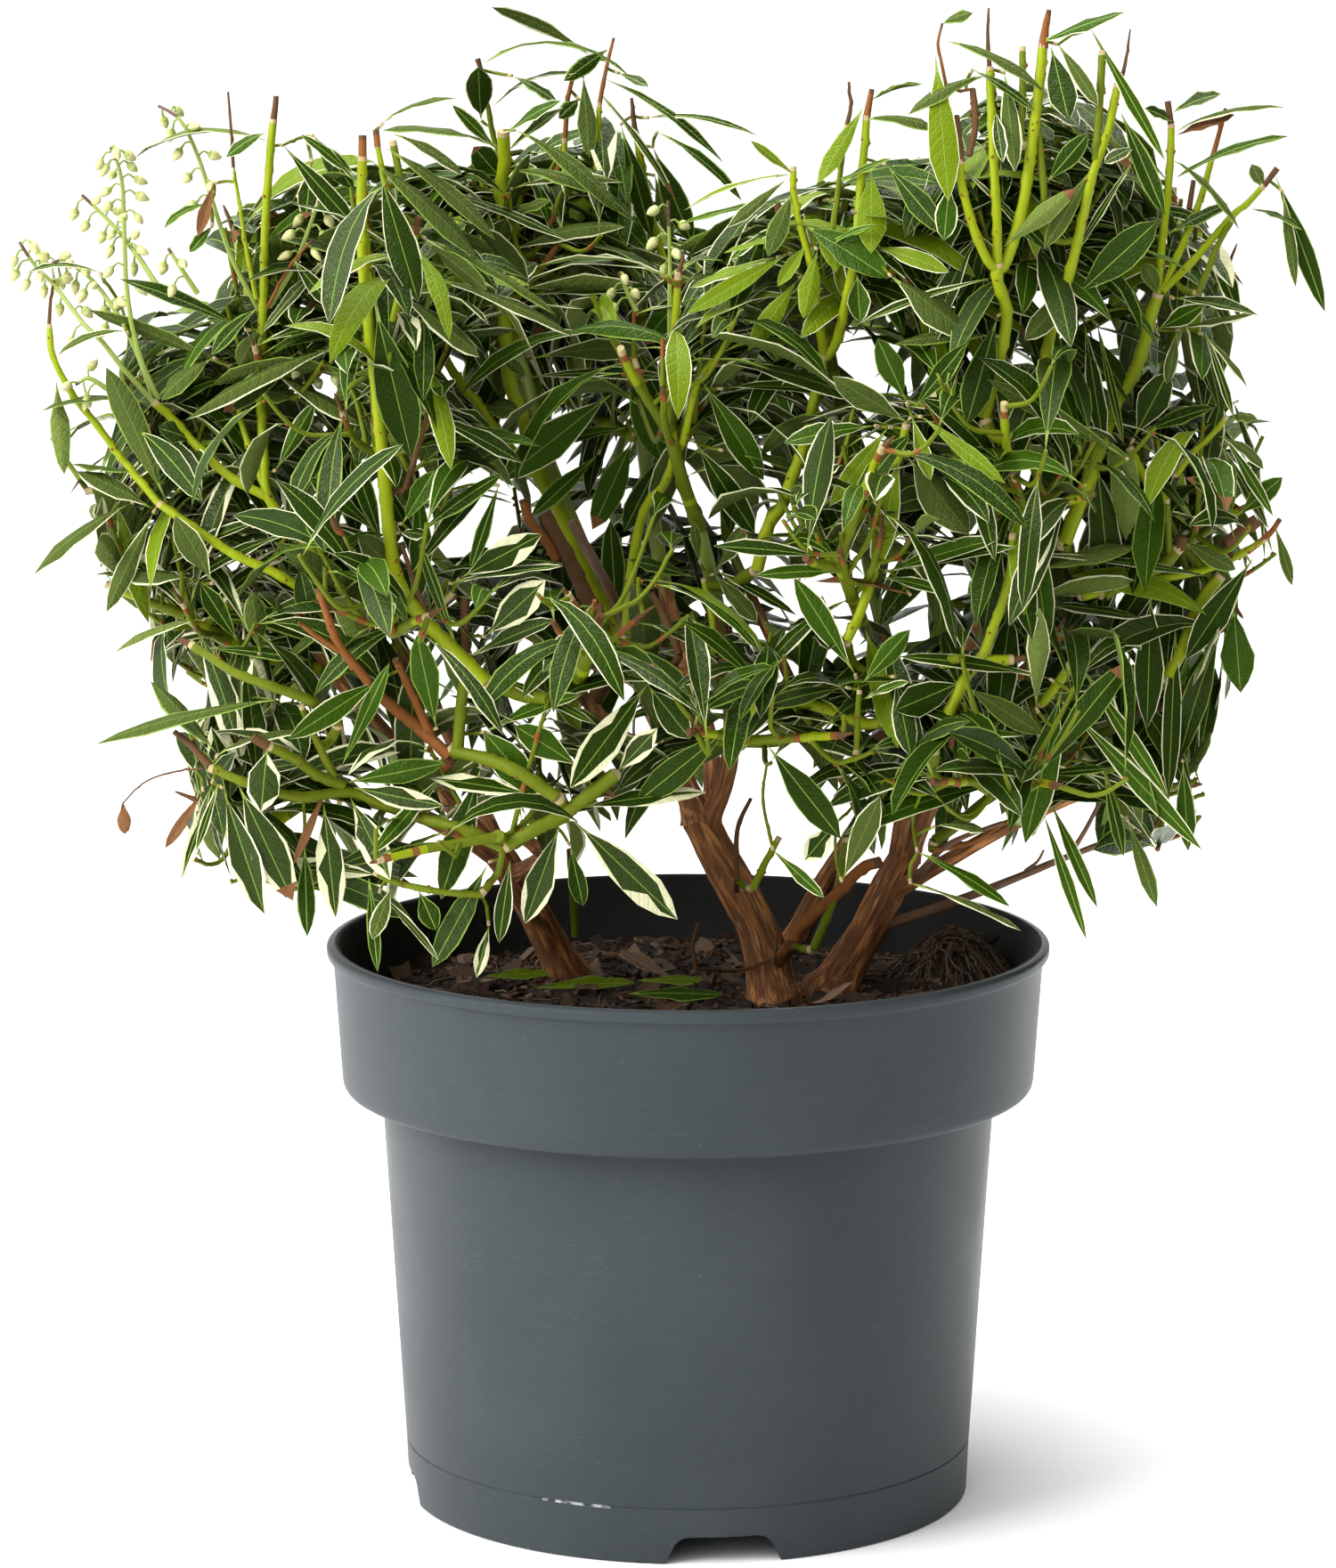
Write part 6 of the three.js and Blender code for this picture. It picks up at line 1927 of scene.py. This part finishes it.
def makeSoilBed():
    edge = mix["edge"]
    chain = [*mix["hidden"], (edge - 0.4, mix["rim"] - 4)]
    chain += [(edge * (1 - k / mix["rings"]), mix["top"]) for k in range(mix["rings"] + 1)]
    bed = turnedShape("soilBed", vectors(chain), mix["sides"])
    for vertex in bed.data.vertices:
        x, y, z = vertex.co / mm
        if z > mix["rim"] - 1:
            vertex.co.z = soilHeight(x, y) * mm
    smoothByAngle(bed, 70)
    material, tree, shader = newMaterial("pottingMix", mix["brown"], 0.9)
    place = objectSpace(tree)
    clods = mottled(tree, place, 90, 0.35, 0.65)
    grit = mottled(tree, place, 520, 0.35, 0.65)
    straw = mottled(tree, place, 700, 0.62, 0.7)
    color = blend(tree, clods, mix["dark"], mix["brown"])
    color = blend(tree, ranged(tree, grit, 0.6, 0), color, mix["dark"])
    color = blend(tree, ranged(tree, straw, 0, 0.7), color, mix["pale"])
    tree.links.new(color, shader.inputs["Base Color"])
    tree.links.new(ranged(tree, clods, 0.65, 0.95), shader.inputs["Roughness"])
    roughen(tree, shader, mathNode(tree, "ADD", grit, clods), 1.6, 1)
    dress(bed, material)
    handOver(bed, "potting_mix", "soil")


def modelChip(rng):  # a split flake of bark
    deselectAll()
    bpy.ops.mesh.primitive_cube_add(size=1)
    chip = bpy.context.object
    editAll()
    bpy.ops.mesh.subdivide(number_cuts=1)
    objectMode()
    for vertex in chip.data.vertices:
        push = Vector(rng.normal(0, 0.1, 3))
        vertex.co += push
        vertex.co.z += 0.25 * vertex.co.x ** 2
    return takeMesh(chip)


def soilSpot(rng, reach=None):
    reach = reach or mix["edge"] - 6
    while True:
        x, y = rng.uniform(-reach, reach, 2)
        if math.hypot(x, y) < reach:
            return x, y, soilHeight(x, y)


def tumbled(rng, lean):
    return (Matrix.Rotation(rng.uniform(0, 2 * math.pi), 3, "Z")
            @ Matrix.Rotation(rng.normal(0, lean), 3, "X") @ Matrix.Rotation(rng.normal(0, lean), 3, "Y"))


def makeLitter():
    rng = np.random.default_rng(5)
    chips = [modelChip(rng) for _ in range(6)]
    heap = Heap()
    for k in range(mix["chips"] + mix["crumbs"]):
        crumb = k >= mix["chips"]
        x, y, z = soilSpot(rng)
        size = rng.uniform(*mix["crumbSize" if crumb else "chipSize"])
        shape = np.array((size, size * rng.uniform(0.4, 0.7), size * (0.6 if crumb else 0.16)))
        points, faces = chips[k % len(chips)]
        turn = np.array(tumbled(rng, 0.9 if crumb else 0.35))
        spots = (points * shape) @ turn.T + np.array((x, y, z + 0.3))
        if np.hypot(spots[:, 0], spots[:, 1]).max() < mix["edge"]:
            heap.add(spots, faces, int(rng.integers(0, 4)))
    browns = [(0.018, 0.009, 0.005), (0.045, 0.020, 0.009), (0.085, 0.037, 0.016), (0.16, 0.10, 0.06)]
    materials = [earthMaterial(f"chip{k}", color, 260) for k, color in enumerate(browns)]
    handOver(heap.build("barkChips", materials, 30), "potting_mix")


def makeFibres():
    rng = np.random.default_rng(8)
    heap = Heap()
    for k in range(mix["fibres"] + mix["mossFibres"]):
        mossy = k >= mix["fibres"]
        if mossy:
            turn, out = rng.uniform(0, 2 * math.pi), rng.uniform(0, 1) ** 0.7 * 27
            x, y = mix["mossAt"][0] + math.cos(turn) * out - 6, mix["mossAt"][1] + math.sin(turn) * out
            if math.hypot(x, y) > mix["edge"] - 6:
                continue
            z = soilHeight(x, y)
        else:
            x, y, z = soilSpot(rng)
        reach = rng.uniform(*mix["mossReach" if mossy else "fibreReach"])
        turn = rng.uniform(0, 2 * math.pi)
        slope = Vector((math.cos(turn), math.sin(turn), 0))
        if mossy:  # root fibres run down from the top of the clump
            slope = (Vector((x - mix["mossAt"][0] + 8, y - mix["mossAt"][1], 0)) + slope * 9).normalized()
        start = Vector((x, y, z + rng.uniform(0, 2.4)))
        spots = []
        for step in range(5):
            p = start + slope * (reach * step / 4) + Vector(rng.normal(0, 0.9, 3))
            if math.hypot(p.x, p.y) > mix["edge"] - 2:
                break
            p.z = soilHeight(p.x, p.y) + 0.4 + (2.2 if mossy else 1.2) * rng.uniform(0, 1)
            spots.append(p)
        if len(spots) < 3:
            continue
        centres = [curvePoint(spots, j / 7) for j in range(8)]
        thick = rng.uniform(*mix["fibreRadius"])
        addTube(heap, centres, [thick] * 7 + [thick * 0.4], 4, int(rng.integers(0, 3)))
    browns = [(0.085, 0.050, 0.030), (0.17, 0.115, 0.075), (0.045, 0.024, 0.013)]
    materials = [earthMaterial(f"fibre{k}", color, 800) for k, color in enumerate(browns)]
    handOver(heap.build("rootFibres", materials, 60), "potting_mix")


fallen = [  # green leaves on the mix: place, turn, length, variant
    ((-80, 12), 0.3, 28, "fresh"), ((-60, -10), 0.3, 42, "fresh"), ((-24, -22), 0.02, 38, "mid"),
    ((-20, 6), 0.1, 30, "fresh"),
]


def makeFallenLeaves():
    rng = np.random.default_rng(21)
    leaves = []
    for (x, y), turn, length, variant in fallen:
        leaves.append({"root": Vector((x, y, soilHeight(x, y) + mix["leafLift"])), "length": length,
                       "along": Vector((math.cos(turn), math.sin(turn), 0.06)).normalized(),
                       "face": Vector((0.1, -0.9, 0.8)).normalized(), "droop": 0.1, "curl": 0.05,
                       "twist": 0.3, "wave": 0.3, "variant": variant, "scorched": False})
    for _ in range(mix["deadLeaves"]):
        x, y, z = soilSpot(rng, mix["edge"] - 34)
        turn = rng.uniform(0, 2 * math.pi)
        along = Vector((math.cos(turn), math.sin(turn), rng.uniform(0, 0.35))).normalized()
        length = rng.uniform(*mix["leafLength"])
        leaves.append({"root": Vector((x, y, z + 1.6)), "length": length, "along": along,
                       "face": Vector((rng.normal(0, 0.3), rng.normal(0, 0.3), 1)).normalized(),
                       "droop": rng.uniform(0.1, 0.6), "curl": rng.uniform(-0.9, 0.9),
                       "twist": rng.normal(0, 0.9), "wave": rng.uniform(0, 1), "variant": "dead"})
    for leaf in leaves:
        leaf["face"] = (leaf["face"] - leaf["along"] * leaf["face"].dot(leaf["along"])).normalized()
    green = [leaf for leaf in leaves if leaf["variant"] != "dead"]
    dry = [dict(leaf, variant="deep") for leaf in leaves if leaf["variant"] == "dead"]
    heap = Heap()
    layLeaves(heap, green, 31)
    handOver(heap.build("fallenLeaves", makeLeafMaterials(), 62), "foliage")
    dryHeap = Heap()
    layLeaves(dryHeap, dry, 32)
    dryHeap.slots = [k % 2 for k in dryHeap.slots]
    browns = [earthMaterial("dryLeaf", (0.14, 0.075, 0.042), 300),
              earthMaterial("dryLeafPale", (0.22, 0.15, 0.10), 300)]
    handOver(dryHeap.build("dryLeaves", browns, 62), "potting_mix")


makeSoilBed()
makeLitter()
makeFibres()
makeFallenLeaves()
print("stage 4: potting mix and litter")


# floor, light and camera

studio = {
    "floor": (0.92, 0.92, 0.915), "dark": 0.06, "bright": 1.85, "from": (-0.48, -0.2, 0.854),
    "behind": (0.85, 0.995), "overhead": (0.15, 0.8),
    "key": {"place": (-2.5, -1.5, 1.9), "size": 2.0, "power": 120},
    "top": {"place": (0.2, 0.3, 2.8), "size": 1.6, "power": 60},
}


def addSoftbox(name):
    light = studio[name]
    bpy.ops.object.light_add(type="AREA", location=light["place"])
    lamp = bpy.context.object
    lamp.name = name + "Light"
    lamp.data.energy = light["power"]
    lamp.data.size = light["size"]
    aim = Vector((0, 0, 0.3)) - Vector(light["place"])
    lamp.rotation_euler = aim.to_track_quat("-Z", "Y").to_euler()


def makeStudio():
    deselectAll()
    bpy.ops.mesh.primitive_plane_add(size=60, location=(0, 0, -0.0002))
    floor = named("paleFloor")
    material, tree, shader = newMaterial("paleFloor", studio["floor"], 0.9)
    dress(floor, material)
    for name in ("key", "top"):
        addSoftbox(name)
    world = bpy.data.worlds.new("paleRoom")
    world.use_nodes = True
    tree = world.node_tree
    sky = tree.nodes["Background"]  # bright overhead and behind the plant, dark at the sides
    split = tree.nodes.new("ShaderNodeSeparateXYZ")
    direction = tree.nodes.new("ShaderNodeTexCoord").outputs["Generated"]
    tree.links.new(direction, split.inputs[0])
    overhead = tree.nodes.new("ShaderNodeVectorMath")
    overhead.operation = "DOT_PRODUCT"
    overhead.inputs[1].default_value = studio["from"]
    tree.links.new(direction, overhead.inputs[0])
    shares = []
    for output, span in ((split.outputs[1], "behind"), (overhead.outputs["Value"], "overhead")):
        fade = tree.nodes.new("ShaderNodeMapRange")
        fade.interpolation_type = "SMOOTHSTEP"
        limits = (*studio[span], studio["dark"], studio["bright"])
        for socket, value in zip(fade.inputs[1:5], limits):
            socket.default_value = value
        tree.links.new(output, fade.inputs["Value"])
        shares.append(fade.outputs[0])
    tree.links.new(mathNode(tree, "MAXIMUM", *shares), sky.inputs["Strength"])
    sky.inputs["Color"].default_value = (1, 1, 1, 1)
    bpy.context.scene.world = world
    bpy.context.scene.view_settings.view_transform = "Standard"


def makeCamera():
    bpy.ops.object.camera_add()
    camera = bpy.context.object
    camera.name = "viewCamera"
    camera.location = Vector(cameraView["place"]) * mm
    camera.rotation_euler = (math.radians(90 - cameraView["pitch"]), 0, 0)
    camera.data.sensor_width = 36
    camera.data.lens = 36 * cameraView["focal"] / cameraView["frame"][1]
    camera.data.clip_end = 100
    bpy.context.scene.camera = camera


makeStudio()
makeCamera()
print("stage 5: studio and camera")
